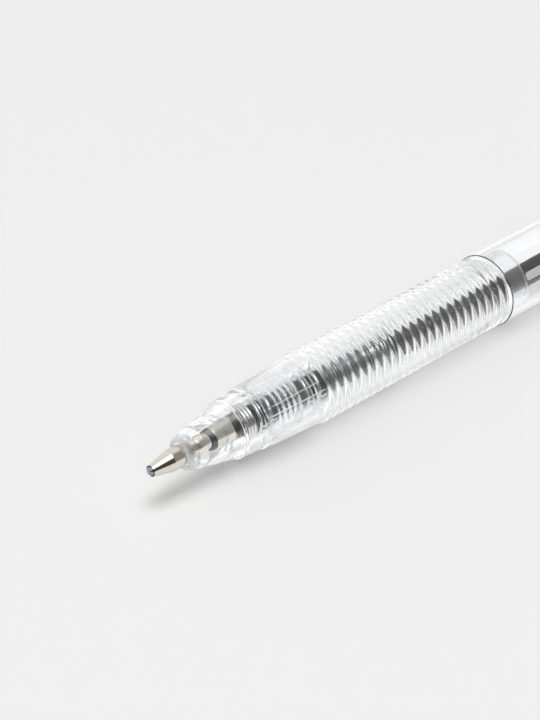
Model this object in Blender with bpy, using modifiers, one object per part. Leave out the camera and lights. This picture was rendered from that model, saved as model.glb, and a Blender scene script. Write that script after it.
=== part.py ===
"""Clear retractable ballpoint pen, lying on its barrel and clip with the point out.

Every piece is modelled along its own +Z, which runs from the writing ball to the push button,
with z = 0 at the centre of the ball. One empty on the pen's axis lays the pen along world +X.
"""

import math

import bmesh
import bpy
import numpy as np
from mathutils import Matrix, Vector

# Facets of the round shapes, and the angle from which an edge is shaded sharp
SHELL_SIDES = 28
CORE_SIDES = 24
BALL_SEGMENTS = 16
BALL_RINGS = 10
CUP_POINTS = 5
BUTTON_EDGE_POINTS = 4
NOSE_STEPS = 7
SLEEVE_STEPS = 4
MERGE_DISTANCE = 1e-7
SHARP_ANGLE = math.radians(35)

# Clearances
SEAM_GAP = 0.0003
FIT_GAP = 0.00015
SLIDE_GAP = 0.0003
BALL_GAP = 0.00005

# Writing point
BALL_DIAMETER = 0.0012
BALL_PROTRUSION = 0.00035
POINT_DIAMETER = 0.0025
POINT_CONE_LENGTH = 0.0027
POINT_BARREL_LENGTH = 0.00205
POINT_NECK_TAPER = 0.0009
POINT_NECK_DIAMETER = 0.0022
POINT_LENGTH = 0.0078
POINT_LIP_WALL = 0.00006
POINT_SHANK_DIAMETER = 0.0015
INK_CHANNEL_DIAMETER = 0.0006

# Metal sleeve that joins the point to the refill tube, with a tapered front shoulder
HOLDER_DIAMETER = 0.0030
HOLDER_MOUTH_DIAMETER = 0.0023
HOLDER_TAPER_LENGTH = 0.0006
HOLDER_LENGTH = 0.0032
HOLDER_FLOOR = 0.0004
HOLDER_SHANK_LENGTH = 0.0025
HOLDER_CHANNEL_DIAMETER = 0.0010

# Refill tube and what it holds
REFILL_DIAMETER = 0.00315
REFILL_WALL = 0.0007
REFILL_TUBE_LENGTH = 0.0922
REFILL_EMPTY_LENGTH = 0.0098
FOLLOWER_LENGTH = 0.0050
COLLAR_LENGTH = 0.0015

# Return spring, which fits over the refill and ends at its collar
SPRING_WIRE = 0.0004
SPRING_CLEARANCE = 0.00022
SPRING_REST_LENGTH = 0.0240
SPRING_END_TURNS = 2
SPRING_END_SPACE = 0.0005
SPRING_OPEN_TURNS = 11
SPRING_POINTS_PER_TURN = 9
SPRING_RAMP_TURNS = 0.5

# Nose cone
POINT_REACH = 0.0044
NOSE_CONE_LENGTH = 0.0067
NOSE_BAND_LENGTH = 0.0031
NOSE_FRONT_WALL = 0.0006
NOSE_SHOULDER_DIAMETER = 0.0068
NOSE_BAND_STEP = 0.00015
NOSE_GUIDE_TAPER = 0.0008
SPRING_SEAT_DEPTH = 0.0075

# Bullet curves of the nose and the front sleeve: their fullness, and how their points crowd forward
NOSE_BULGE = 0.9
SLEEVE_BULGE = 0.63
BULGE_CROWDING = 1.5

# Screw joint between nose and lower barrel
TENON_LENGTH = 0.0078
TENON_WALL = 0.0006
THREAD_DEPTH = 0.00025
THREAD_PITCH = 0.0008
THREAD_TURNS = 5
THREAD_START = 0.0022

# Lower barrel with its grip rings
SLEEVE_LENGTH = 0.0087
SLEEVE_FRONT_WALL = 0.00035
SLEEVE_STEP = 0.0001
SLEEVE_REAR_DIAMETER = 0.0087
RING_COUNT = 24
RING_PITCH = 0.00131
RING_CREST_DIAMETER = 0.0092
RING_DEPTH = 0.0003
RING_CREST_SHARE = 0.4
FLANGE_LENGTH = 0.0006
LOWER_BORE_DIAMETER = 0.0060
REAR_TENON_LENGTH = 0.0034

# Upper barrel
UPPER_DIAMETER = 0.0096
UPPER_WALL = 0.00075
EDGE_ROUND = 0.0002

# Travel of the button, and the step of the rotor over its return stroke
RETURN_TRAVEL = 0.0058
PRESS_TRAVEL = 0.0009
ROTOR_STEP = math.radians(45)
HOOK_ANGLE = math.radians(2.4)
HOOK_MARGIN = math.radians(0.8)

# Rotor
ROTOR_SOCKET_LENGTH = 0.0038
ROTOR_SOCKET_WALL = 0.00057
ROTOR_FIN_LENGTH = 0.0030
ROTOR_FIN_WIDTH = 0.0006
ROTOR_CHAMFER = 0.0003
ROTOR_PIN_DIAMETER = 0.0016
ROTOR_PIN_LENGTH = 0.0032
TOOTH_COUNT = 8
TOOTH_DEPTH = 0.0008
TOOTH_BASE = 0.0016

# Cam guide
GUIDE_WALL = 0.00075
GUIDE_FRONT_LENGTH = 0.0035
RIB_COUNT = 4
RIB_WIDTH = 0.00076

# Thrust rod and push button
ROD_STEM_DIAMETER = 0.0028
ROD_STEM_LENGTH = 0.0116
ROD_LUG_LENGTH = 0.0030
ROD_LUG_WIDTH = 0.0009
ROD_LUG_SETBACK = 0.0037
BUTTON_DIAMETER = 0.0049
BUTTON_LENGTH = 0.0170
BUTTON_OVERLAP = 0.0027
BUTTON_EDGE = 0.0006

# End collar and clip
COLLAR_BODY_LENGTH = 0.0039
COLLAR_TAPER = 0.0006
COLLAR_EDGE = 0.0005
SPIGOT_LENGTH = 0.0056
CLIP_RING_WIDTH = 0.0010
CLIP_TILT_GAP = 0.00035
CLIP_LENGTH = 0.0360
CLIP_WIDTH = 0.0042
CLIP_THICKNESS = 0.0012
CLIP_STANDOFF = 0.0015
CLIP_BUMP_LENGTH = 0.0050
CLIP_BUMP_FLAT = 0.0010
CLIP_CORNER = 0.0005

# Places along the refill, from the ball's centre
BALL_RADIUS = BALL_DIAMETER / 2
CUP_RADIUS = BALL_RADIUS + BALL_GAP
POINT_FRONT = BALL_PROTRUSION - BALL_RADIUS
POINT_REAR = POINT_FRONT + POINT_LENGTH
HOLDER_FRONT = POINT_REAR + FIT_GAP
HOLDER_REAR = HOLDER_FRONT + HOLDER_LENGTH
HOLDER_END = HOLDER_REAR + HOLDER_SHANK_LENGTH
SOCKET_END = HOLDER_REAR - HOLDER_FLOOR
SHANK_REAR = SOCKET_END - FIT_GAP
REFILL_FRONT = HOLDER_REAR + FIT_GAP
REFILL_REAR = REFILL_FRONT + REFILL_TUBE_LENGTH
INK_FRONT = HOLDER_END + SEAM_GAP
FOLLOWER_REAR = REFILL_REAR - REFILL_EMPTY_LENGTH
FOLLOWER_FRONT = FOLLOWER_REAR - FOLLOWER_LENGTH
INK_REAR = FOLLOWER_FRONT - SEAM_GAP

# Places along the nose and the two barrels
NOSE_FRONT = POINT_FRONT + POINT_REACH
NOSE_SHOULDER = NOSE_FRONT + NOSE_CONE_LENGTH
NOSE_REAR = NOSE_SHOULDER + NOSE_BAND_LENGTH
NOSE_PASSAGE = HOLDER_FRONT - PRESS_TRAVEL - SLIDE_GAP
TENON_END = NOSE_REAR + TENON_LENGTH
SPRING_SEAT = NOSE_FRONT + SPRING_SEAT_DEPTH
SPRING_FRONT = SPRING_SEAT + FIT_GAP
SPRING_REAR = SPRING_FRONT + SPRING_REST_LENGTH
REFILL_COLLAR = SPRING_REAR + FIT_GAP
SLEEVE_FRONT = NOSE_REAR + SEAM_GAP
RINGS_FRONT = SLEEVE_FRONT + SLEEVE_LENGTH
RINGS_REAR = RINGS_FRONT + RING_COUNT * RING_PITCH
FLANGE_REAR = RINGS_REAR + FLANGE_LENGTH
UPPER_FRONT = FLANGE_REAR + SEAM_GAP

# The mechanism stacks up behind the refill. The rotor's fins wait under the ribs, and turn
# clear of them before they reach them as the rotor comes back.
TURN_PER_LENGTH = ROTOR_STEP / RETURN_TRAVEL
ROTOR_SHOULDER = REFILL_REAR + SEAM_GAP
ROTOR_FRONT = ROTOR_SHOULDER - ROTOR_SOCKET_LENGTH
FIN_FRONT = ROTOR_SHOULDER
FIN_REAR = FIN_FRONT + ROTOR_FIN_LENGTH
ROTOR_REAR = FIN_REAR + TOOTH_BASE
RIB_FRONT = FIN_REAR + (HOOK_ANGLE + HOOK_MARGIN) / TURN_PER_LENGTH
GUIDE_FRONT = RIB_FRONT - GUIDE_FRONT_LENGTH
ROD_FRONT = ROTOR_REAR + SEAM_GAP
LUG_FRONT = ROD_FRONT + ROD_LUG_SETBACK
LUG_REAR = LUG_FRONT + ROD_LUG_LENGTH
GUIDE_REAR = LUG_REAR + RETURN_TRAVEL + SLIDE_GAP
SPIGOT_FRONT = GUIDE_REAR + SEAM_GAP
COLLAR_FRONT = SPIGOT_FRONT + SPIGOT_LENGTH
COLLAR_REAR = COLLAR_FRONT + COLLAR_BODY_LENGTH
CLIP_CENTRE = COLLAR_FRONT - CLIP_TILT_GAP - CLIP_RING_WIDTH / 2
UPPER_REAR = CLIP_CENTRE - CLIP_RING_WIDTH / 2 - CLIP_TILT_GAP
BUTTON_FRONT = COLLAR_REAR - RETURN_TRAVEL - BUTTON_OVERLAP
BUTTON_REAR = BUTTON_FRONT + BUTTON_LENGTH
ROD_SHOULDER = BUTTON_FRONT - SEAM_GAP
ROD_REAR = ROD_SHOULDER + ROD_STEM_LENGTH

# Radii that follow from their neighbours
REFILL_RADIUS = REFILL_DIAMETER / 2
REFILL_BORE_RADIUS = REFILL_RADIUS - REFILL_WALL
PASSAGE_RADIUS = max(HOLDER_DIAMETER, REFILL_DIAMETER) / 2 + FIT_GAP
SPRING_RADIUS = REFILL_RADIUS + SPRING_CLEARANCE + SPRING_WIRE / 2
SPRING_OUTER_RADIUS = SPRING_RADIUS + SPRING_WIRE / 2
SPRING_BORE_RADIUS = SPRING_OUTER_RADIUS + SLIDE_GAP
POINT_HOLE_RADIUS = POINT_DIAMETER / 2 + FIT_GAP
TENON_ROOT_RADIUS = SPRING_BORE_RADIUS + TENON_WALL
TENON_CREST_RADIUS = TENON_ROOT_RADIUS + THREAD_DEPTH
THREAD_BORE_RADIUS = TENON_CREST_RADIUS + FIT_GAP
SLEEVE_FRONT_RADIUS = THREAD_BORE_RADIUS + SLEEVE_FRONT_WALL
NOSE_REAR_RADIUS = SLEEVE_FRONT_RADIUS - SLEEVE_STEP
RING_CREST_RADIUS = RING_CREST_DIAMETER / 2
RING_VALLEY_RADIUS = RING_CREST_RADIUS - RING_DEPTH
UPPER_RADIUS = UPPER_DIAMETER / 2
UPPER_BORE_RADIUS = UPPER_RADIUS - UPPER_WALL
LINER_RADIUS = UPPER_BORE_RADIUS - FIT_GAP
GUIDE_BORE_RADIUS = LINER_RADIUS - GUIDE_WALL
ROTOR_RADIUS = REFILL_RADIUS + FIT_GAP + ROTOR_SOCKET_WALL
RIB_INNER_RADIUS = ROTOR_RADIUS + SLIDE_GAP
FIN_RADIUS = GUIDE_BORE_RADIUS - FIT_GAP
PIN_HOLE_RADIUS = ROTOR_PIN_DIAMETER / 2 + SLIDE_GAP
BUTTON_RADIUS = BUTTON_DIAMETER / 2
COLLAR_BORE_RADIUS = BUTTON_RADIUS + SLIDE_GAP

# Where the ribs and lugs stand round the axis, seen from the rotor's fins
RIB_ANGLE = HOOK_ANGLE - sum(
    math.asin(width / 2 / RIB_INNER_RADIUS) for width in (ROTOR_FIN_WIDTH, RIB_WIDTH)
)
LUG_ANGLE = RIB_ANGLE + math.pi / RIB_COUNT

# How the pen lies: on a flat of its barrel, and on the outer corner of its clip
SHELL_FLAT = math.cos(math.pi / SHELL_SIDES)
AXIS_HEIGHT = UPPER_RADIUS * SHELL_FLAT
CLIP_OUTER = UPPER_RADIUS + CLIP_STANDOFF + CLIP_THICKNESS
CLIP_ROLL = math.atan2(CLIP_WIDTH / 2, CLIP_OUTER) + math.acos(
    AXIS_HEIGHT / math.hypot(CLIP_OUTER, CLIP_WIDTH / 2)
)
CLIP_REACH = CLIP_OUTER * math.sin(CLIP_ROLL) + CLIP_WIDTH / 2 * math.cos(CLIP_ROLL)
AXIS_Y = (UPPER_RADIUS * SHELL_FLAT - CLIP_REACH) / 2
MIDDLE = (BUTTON_REAR - BALL_RADIUS) / 2

# Colours: red, green, blue, alpha, then metallic and roughness
CLEAR_PLASTIC = ((0.93, 0.95, 0.96, 0.3), 0.0, 0.05)
REFILL_PLASTIC = ((0.88, 0.90, 0.90, 0.5), 0.0, 0.2)
BLACK_INK = ((0.004, 0.004, 0.006, 1.0), 0.0, 0.25)
GREASE = ((0.80, 0.72, 0.45, 0.7), 0.0, 0.3)
NICKEL_SILVER = ((0.66, 0.62, 0.55, 1.0), 1.0, 0.22)
SPRING_STEEL = ((0.55, 0.56, 0.57, 1.0), 1.0, 0.25)
CARBIDE = ((0.04, 0.045, 0.07, 1.0), 1.0, 0.15)
BLACK_PLASTIC = ((0.012, 0.012, 0.014, 1.0), 0.0, 0.2)
WHITE_PLASTIC = ((0.80, 0.80, 0.77, 1.0), 0.0, 0.4)


def clear_scene():
    """Remove every object that the file opened with."""
    for old in list(bpy.data.objects):
        bpy.data.objects.remove(old, do_unlink=True)


def new_collection(name):
    """A collection of that name, linked to the scene."""
    collection = bpy.data.collections.new(name)
    bpy.context.scene.collection.children.link(collection)
    return collection


def principled(name, finish):
    """A Principled material from a colour, a metallic value and a roughness."""
    colour, metallic, roughness = finish
    material = bpy.data.materials.new(name)
    material.use_nodes = True
    shader = material.node_tree.nodes["Principled BSDF"]
    shader.inputs["Base Color"].default_value = colour[:3] + (1.0,)
    shader.inputs["Alpha"].default_value = colour[3]
    shader.inputs["Metallic"].default_value = metallic
    shader.inputs["Roughness"].default_value = roughness
    material.diffuse_color = colour
    return material


class Pen:
    """The collections and the axis that the pieces are put on."""

    def __init__(self):
        self.parts = new_collection("ballpoint_pen")
        self.cutters = new_collection("ballpoint_pen_cutters")
        self.axis = bpy.data.objects.new("pen_axis", None)
        self.parts.objects.link(self.axis)
        self.axis.location = (-MIDDLE, AXIS_Y, AXIS_HEIGHT)
        self.axis.rotation_euler = (0, math.pi / 2, 0)

    def place(self, piece, finish, z=0.0, turn=0.0):
        """Dress a piece and put its origin on the pen's axis, z behind the ball."""
        self.parts.objects.link(piece)
        piece.data.materials.append(principled(piece.name, finish))
        piece.parent = self.axis
        piece.location = (0, 0, z)
        piece.rotation_euler = (0, 0, turn)
        return piece

    def combine(self, piece, operation, others):
        """Join or cut a piece with other meshes given in the same place and turn."""
        for other in others:
            self.cutters.objects.link(other)
            other.parent = self.axis
            other.location = piece.location
            other.rotation_euler = piece.rotation_euler
            other.hide_render = True
            other.display_type = "WIRE"
            boolean = piece.modifiers.new(other.name, "BOOLEAN")
            boolean.operation = operation
            boolean.object = other


def mesh_object(name, shape):
    """An object holding a bmesh, with outward faces and smooth shading on its round sides."""
    bmesh.ops.recalc_face_normals(shape, faces=shape.faces)
    mesh = bpy.data.meshes.new(name)
    shape.to_mesh(mesh)
    shape.free()
    mesh.shade_smooth()
    mesh.set_sharp_from_angle(angle=SHARP_ANGLE)
    return bpy.data.objects.new(name, mesh)


def turned(name, profile, sides):
    """A piece of revolution from (radius, z) points that run down its outer side.

    A profile that starts and ends on the axis makes a solid, and any other closes into a ring.
    """
    rows = [(radius, 0.0, z) for radius, z in profile]
    count = len(rows)
    edges = [(i, i + 1) for i in range(count - 1)]
    if profile[0][0] > 0:
        edges.append((count - 1, 0))
    mesh = bpy.data.meshes.new(name)
    mesh.from_pydata(rows, edges, [])
    piece = bpy.data.objects.new(name, mesh)
    screw = piece.modifiers.new("turn", "SCREW")
    screw.axis = "Z"
    screw.angle = 2 * math.pi
    screw.steps = sides
    screw.render_steps = sides
    screw.use_merge_vertices = True
    screw.merge_threshold = MERGE_DISTANCE
    screw.use_smooth_shade = True
    return piece


def box(name, low, high, turn=0.0):
    """A block between two corners, turned about the pen's axis."""
    shape = bmesh.new()
    low, high = Vector(low), Vector(high)
    bmesh.ops.create_cube(shape, size=1.0)
    size = Matrix.Diagonal((high - low).to_4d())
    place = Matrix.Rotation(turn, 4, "Z") @ Matrix.Translation((low + high) / 2) @ size
    bmesh.ops.transform(shape, matrix=place, verts=shape.verts)
    return mesh_object(name, shape)


def blades(name, count, inner, outer, width, front, rear, turn=0.0):
    """Radial blocks spread evenly round the axis, such as ribs, fins or lugs."""
    return [
        box(
            f"{name}_{i}",
            (inner, -width / 2, front),
            (outer, width / 2, rear),
            turn + 2 * math.pi * i / count,
        )
        for i in range(count)
    ]


def notch_bars(name, z, inner, outer):
    """Square bars on edge, spread round the axis, which cut V notches between crown teeth at z."""
    bars = []
    side = TOOTH_DEPTH * math.sqrt(2)
    size = Matrix.Diagonal((outer - inner, side, side, 1))
    edge_on = Matrix.Rotation(math.pi / 4, 4, "X")
    outward = Matrix.Translation(((inner + outer) / 2, 0, z))
    for i in range(TOOTH_COUNT):
        shape = bmesh.new()
        bmesh.ops.create_cube(shape, size=1.0)
        around = Matrix.Rotation(2 * math.pi * i / TOOTH_COUNT, 4, "Z")
        bmesh.ops.transform(shape, matrix=around @ outward @ edge_on @ size, verts=shape.verts)
        bars.append(mesh_object(f"{name}_{i}", shape))
    return bars


def bulge(front, rear, front_radius, rear_radius, fullness, steps):
    """(radius, z) points of a bullet curve, steeper at the front than at the rear."""
    share = np.linspace(0, 1, steps + 1) ** BULGE_CROWDING
    radii = front_radius + (rear_radius - front_radius) * share**fullness
    return list(zip(radii.tolist(), (front + (rear - front) * share).tolist()))


def down(profile):
    """A profile written from front to rear, turned round to run from the rear to the front."""
    return list(reversed(profile))


def make_refill(pen):
    """The writing point with its ball, its holder, the tube and what the tube is filled with."""
    ball = bmesh.new()
    bmesh.ops.create_uvsphere(
        ball, u_segments=BALL_SEGMENTS, v_segments=BALL_RINGS, radius=BALL_RADIUS
    )
    pen.place(mesh_object("writing_ball", ball), CARBIDE)

    channel = INK_CHANNEL_DIAMETER / 2
    widest = math.asin(-POINT_FRONT / CUP_RADIUS)
    deepest = math.acos(channel / CUP_RADIUS)
    cup = [
        (CUP_RADIUS * math.cos(angle), CUP_RADIUS * math.sin(angle))
        for angle in np.linspace(-widest, deepest, CUP_POINTS).tolist()
    ]
    barrel_front = POINT_FRONT + POINT_CONE_LENGTH
    barrel_rear = barrel_front + POINT_BARREL_LENGTH
    outer = [
        (cup[0][0] + POINT_LIP_WALL, POINT_FRONT),
        (POINT_DIAMETER / 2, barrel_front),
        (POINT_DIAMETER / 2, barrel_rear),
        (POINT_NECK_DIAMETER / 2, barrel_rear + POINT_NECK_TAPER),
        (POINT_NECK_DIAMETER / 2, POINT_REAR),
        (POINT_SHANK_DIAMETER / 2, POINT_REAR),
        (POINT_SHANK_DIAMETER / 2, SHANK_REAR),
    ]
    inner = cup + [(channel, SHANK_REAR)]
    pen.place(turned("refill_point", down(outer) + inner, CORE_SIDES), NICKEL_SILVER)

    socket = POINT_SHANK_DIAMETER / 2 + FIT_GAP
    holder_shank = REFILL_BORE_RADIUS - FIT_GAP
    outer = [
        (HOLDER_MOUTH_DIAMETER / 2, HOLDER_FRONT),
        (HOLDER_DIAMETER / 2, HOLDER_FRONT + HOLDER_TAPER_LENGTH),
        (HOLDER_DIAMETER / 2, HOLDER_REAR),
        (holder_shank, HOLDER_REAR),
        (holder_shank, HOLDER_END),
    ]
    inner = [
        (socket, HOLDER_FRONT),
        (socket, SOCKET_END),
        (HOLDER_CHANNEL_DIAMETER / 2, SOCKET_END),
        (HOLDER_CHANNEL_DIAMETER / 2, HOLDER_END),
    ]
    pen.place(turned("point_holder", down(outer) + inner, CORE_SIDES), NICKEL_SILVER)

    outer = [
        (REFILL_RADIUS, REFILL_FRONT),
        (REFILL_RADIUS, REFILL_COLLAR),
        (SPRING_OUTER_RADIUS, REFILL_COLLAR),
        (SPRING_OUTER_RADIUS, REFILL_COLLAR + COLLAR_LENGTH),
        (REFILL_RADIUS, REFILL_COLLAR + COLLAR_LENGTH),
        (REFILL_RADIUS, REFILL_REAR),
    ]
    inner = [(REFILL_BORE_RADIUS, REFILL_FRONT), (REFILL_BORE_RADIUS, REFILL_REAR)]
    pen.place(turned("refill_tube", down(outer) + inner, CORE_SIDES), REFILL_PLASTIC)

    fill = REFILL_BORE_RADIUS - FIT_GAP
    for name, front, rear, finish in (
        ("ink_column", INK_FRONT, INK_REAR, BLACK_INK),
        ("ink_follower", FOLLOWER_FRONT, FOLLOWER_REAR, GREASE),
    ):
        pen.place(turned(name, [(0, rear), (fill, rear), (fill, front), (0, front)], CORE_SIDES), finish)


def make_nose(pen):
    """The clear bullet nose, bored for the point and the spring, with its threaded tail."""
    front = POINT_HOLE_RADIUS + NOSE_FRONT_WALL
    shoulder = NOSE_SHOULDER_DIAMETER / 2
    flank = THREAD_PITCH / 3
    outer = bulge(NOSE_FRONT, NOSE_SHOULDER, front, shoulder, NOSE_BULGE, NOSE_STEPS)
    outer += [
        (shoulder + NOSE_BAND_STEP, NOSE_SHOULDER),
        (NOSE_REAR_RADIUS, NOSE_REAR),
        (TENON_ROOT_RADIUS, NOSE_REAR),
    ]
    for i in range(THREAD_TURNS):
        ridge = NOSE_REAR + THREAD_START + i * THREAD_PITCH
        outer += [
            (TENON_ROOT_RADIUS, ridge),
            (TENON_CREST_RADIUS, ridge + flank),
            (TENON_ROOT_RADIUS, ridge + 2 * flank),
        ]
    outer.append((TENON_ROOT_RADIUS, TENON_END))
    inner = [
        (POINT_HOLE_RADIUS, NOSE_FRONT),
        (POINT_HOLE_RADIUS, NOSE_PASSAGE - NOSE_GUIDE_TAPER),
        (PASSAGE_RADIUS, NOSE_PASSAGE),
        (PASSAGE_RADIUS, SPRING_SEAT),
        (SPRING_BORE_RADIUS, SPRING_SEAT),
        (SPRING_BORE_RADIUS, TENON_END),
    ]
    nose = turned("nose_cone", down(outer) + inner, SHELL_SIDES)
    pen.place(nose, CLEAR_PLASTIC, turn=math.pi / SHELL_SIDES)


def make_lower_barrel(pen):
    """The grip barrel: smooth front sleeve, rounded rings, rear flange and tenon."""
    crest_start = (1 - RING_CREST_SHARE) / 2 * RING_PITCH
    bore = LOWER_BORE_DIAMETER / 2
    sleeve_rear = SLEEVE_REAR_DIAMETER / 2
    sleeve = (SLEEVE_FRONT, RINGS_FRONT, SLEEVE_FRONT_RADIUS, sleeve_rear)
    outer = bulge(*sleeve, SLEEVE_BULGE, SLEEVE_STEPS)
    for i in range(RING_COUNT):
        ring = RINGS_FRONT + i * RING_PITCH
        outer += [
            (RING_VALLEY_RADIUS, ring),
            (RING_CREST_RADIUS, ring + crest_start),
            (RING_CREST_RADIUS, ring + RING_PITCH - crest_start),
        ]
    tenon_rear = UPPER_FRONT + REAR_TENON_LENGTH
    outer += [
        (RING_VALLEY_RADIUS, RINGS_REAR),
        (UPPER_RADIUS, RINGS_REAR),
        (UPPER_RADIUS, FLANGE_REAR),
        (LINER_RADIUS, FLANGE_REAR),
        (LINER_RADIUS, tenon_rear),
    ]
    inner = [
        (THREAD_BORE_RADIUS, SLEEVE_FRONT),
        (THREAD_BORE_RADIUS, TENON_END + SEAM_GAP),
        (bore, TENON_END + SEAM_GAP),
        (bore, tenon_rear),
    ]
    barrel = turned("lower_barrel", down(outer) + inner, SHELL_SIDES)
    pen.place(barrel, CLEAR_PLASTIC, turn=math.pi / SHELL_SIDES)


def make_upper_barrel(pen):
    """The smooth clear tube of the rear half."""
    outer = [
        (UPPER_RADIUS - EDGE_ROUND, UPPER_FRONT),
        (UPPER_RADIUS, UPPER_FRONT + EDGE_ROUND),
        (UPPER_RADIUS, UPPER_REAR - EDGE_ROUND),
        (UPPER_RADIUS - EDGE_ROUND, UPPER_REAR),
    ]
    inner = [(UPPER_BORE_RADIUS, UPPER_FRONT), (UPPER_BORE_RADIUS, UPPER_REAR)]
    barrel = turned("upper_barrel", down(outer) + inner, SHELL_SIDES)
    pen.place(barrel, CLEAR_PLASTIC, turn=math.pi / SHELL_SIDES)


def spring_points():
    """Points along the spring's wire: close, open and close turns, with a straight tip at each end."""
    turns = 2 * SPRING_END_TURNS + SPRING_OPEN_TURNS
    count = turns * SPRING_POINTS_PER_TURN
    at_turn = np.linspace(0, turns, count + 1)
    from_end = np.minimum(at_turn, turns - at_turn)
    openness = np.clip((from_end - SPRING_END_TURNS) / SPRING_RAMP_TURNS + 0.5, 0, 1)
    tip = SPRING_WIRE
    coil_length = SPRING_REST_LENGTH - 2 * tip
    middle = (openness[1:] + openness[:-1]) / 2
    step = turns / count
    end_pitch = SPRING_WIRE + SPRING_END_SPACE
    extra = (coil_length - end_pitch * turns) / (middle.sum() * step)
    rise = np.concatenate([[0], np.cumsum((end_pitch + extra * middle) * step)])
    angle = 2 * math.pi * at_turn
    z = SPRING_FRONT + tip + rise
    coil = np.stack([SPRING_RADIUS * np.cos(angle), SPRING_RADIUS * np.sin(angle), z], axis=1)
    first = coil[0] - np.array([0, 0, tip])
    last = coil[-1] + np.array([0, 0, tip])
    return np.concatenate([[first], coil, [last]])


def least_gap(points, wire):
    """The least gap between two places on a wire that aren't next to each other."""
    apart = np.linalg.norm(points[:, None] - points[None, :], axis=2)
    along = np.abs(np.arange(len(points))[:, None] - np.arange(len(points))[None, :])
    return apart[along > SPRING_POINTS_PER_TURN // 2].min() - wire


def make_spring(pen):
    """The return spring as one unbroken wire between the nose and the refill's collar."""
    points = spring_points()
    wire = bpy.data.curves.new("return_spring", "CURVE")
    wire.dimensions = "3D"
    wire.bevel_depth = SPRING_WIRE / 2
    wire.bevel_resolution = 1
    wire.use_fill_caps = True
    line = wire.splines.new("POLY")
    line.points.add(len(points) - 1)
    line.points.foreach_set("co", np.column_stack([points, np.ones(len(points))]).ravel())
    pen.place(bpy.data.objects.new("return_spring", wire), SPRING_STEEL)
    print(f"return_spring: least gap to itself {least_gap(points, SPRING_WIRE) * 1000:.3f} mm")


def make_cam_guide(pen):
    """The ribbed sleeve that the rotor's fins wait under and slide between."""
    sleeve = [
        (LINER_RADIUS, GUIDE_REAR),
        (LINER_RADIUS, GUIDE_FRONT),
        (GUIDE_BORE_RADIUS, GUIDE_FRONT),
        (GUIDE_BORE_RADIUS, GUIDE_REAR),
    ]
    guide = turned("cam_guide", sleeve, SHELL_SIDES)
    pen.place(guide, WHITE_PLASTIC, turn=RIB_ANGLE)
    root = GUIDE_BORE_RADIUS + GUIDE_WALL / 2
    rib_rear = GUIDE_REAR - FIT_GAP
    ribs = blades("guide_rib", RIB_COUNT, RIB_INNER_RADIUS, root, RIB_WIDTH, RIB_FRONT, rib_rear)
    pen.combine(guide, "UNION", ribs)


def make_rotor(pen):
    """The indexing rotor: socket for the refill, fins, crown teeth and centre pin."""
    socket = REFILL_RADIUS + FIT_GAP
    pin = ROTOR_PIN_DIAMETER / 2
    pin_rear = ROTOR_REAR + ROTOR_PIN_LENGTH
    body = [
        (0, pin_rear),
        (pin, pin_rear),
        (pin, ROTOR_REAR),
        (ROTOR_RADIUS, ROTOR_REAR),
        (ROTOR_RADIUS, ROTOR_FRONT + ROTOR_CHAMFER),
        (ROTOR_RADIUS - ROTOR_CHAMFER, ROTOR_FRONT),
        (socket, ROTOR_FRONT),
        (socket, ROTOR_SHOULDER),
        (0, ROTOR_SHOULDER),
    ]
    rotor = turned("index_rotor", body, CORE_SIDES)
    pen.place(rotor, WHITE_PLASTIC)
    notches = notch_bars("rotor_notch", ROTOR_REAR, PIN_HOLE_RADIUS, 2 * ROTOR_RADIUS)
    pen.combine(rotor, "DIFFERENCE", notches)
    root = ROTOR_RADIUS - FIT_GAP
    fins = blades("rotor_fin", RIB_COUNT, root, FIN_RADIUS, ROTOR_FIN_WIDTH, FIN_FRONT, FIN_REAR)
    pen.combine(rotor, "UNION", fins)


def make_thrust_rod(pen):
    """The toothed rod between rotor and button, with lugs that run between the guide's ribs."""
    stem = ROD_STEM_DIAMETER / 2
    hole_end = ROTOR_REAR + ROTOR_PIN_LENGTH + SLIDE_GAP
    body = [
        (0, ROD_REAR),
        (stem, ROD_REAR),
        (stem, ROD_SHOULDER),
        (ROTOR_RADIUS, ROD_SHOULDER),
        (ROTOR_RADIUS, ROD_FRONT),
        (PIN_HOLE_RADIUS, ROD_FRONT),
        (PIN_HOLE_RADIUS, hole_end),
        (0, hole_end),
    ]
    rod = turned("thrust_rod", body, CORE_SIDES)
    pen.place(rod, BLACK_PLASTIC)
    notches = notch_bars("rod_notch", ROD_FRONT, PIN_HOLE_RADIUS + FIT_GAP, 2 * ROTOR_RADIUS)
    pen.combine(rod, "DIFFERENCE", notches)
    root = ROTOR_RADIUS - FIT_GAP
    lugs = blades("rod_lug", RIB_COUNT, root, FIN_RADIUS, ROD_LUG_WIDTH, LUG_FRONT, LUG_REAR, LUG_ANGLE)
    pen.combine(rod, "UNION", lugs)


def make_button(pen):
    """The push button: a cap with a flat top that fits over the rod's stem."""
    socket = ROD_STEM_DIAMETER / 2 + FIT_GAP
    socket_end = ROD_REAR + SEAM_GAP
    flat = BUTTON_RADIUS - BUTTON_EDGE
    shoulder = BUTTON_REAR - BUTTON_EDGE
    rounding = [
        (flat + BUTTON_EDGE * math.sin(angle), shoulder + BUTTON_EDGE * math.cos(angle))
        for angle in np.linspace(0, math.pi / 2, BUTTON_EDGE_POINTS).tolist()
    ]
    cap = [(0, BUTTON_REAR)] + rounding
    cap += [
        (BUTTON_RADIUS, BUTTON_FRONT),
        (socket, BUTTON_FRONT),
        (socket, socket_end),
        (0, socket_end),
    ]
    pen.place(turned("push_button", cap, CORE_SIDES), BLACK_PLASTIC)


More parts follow.
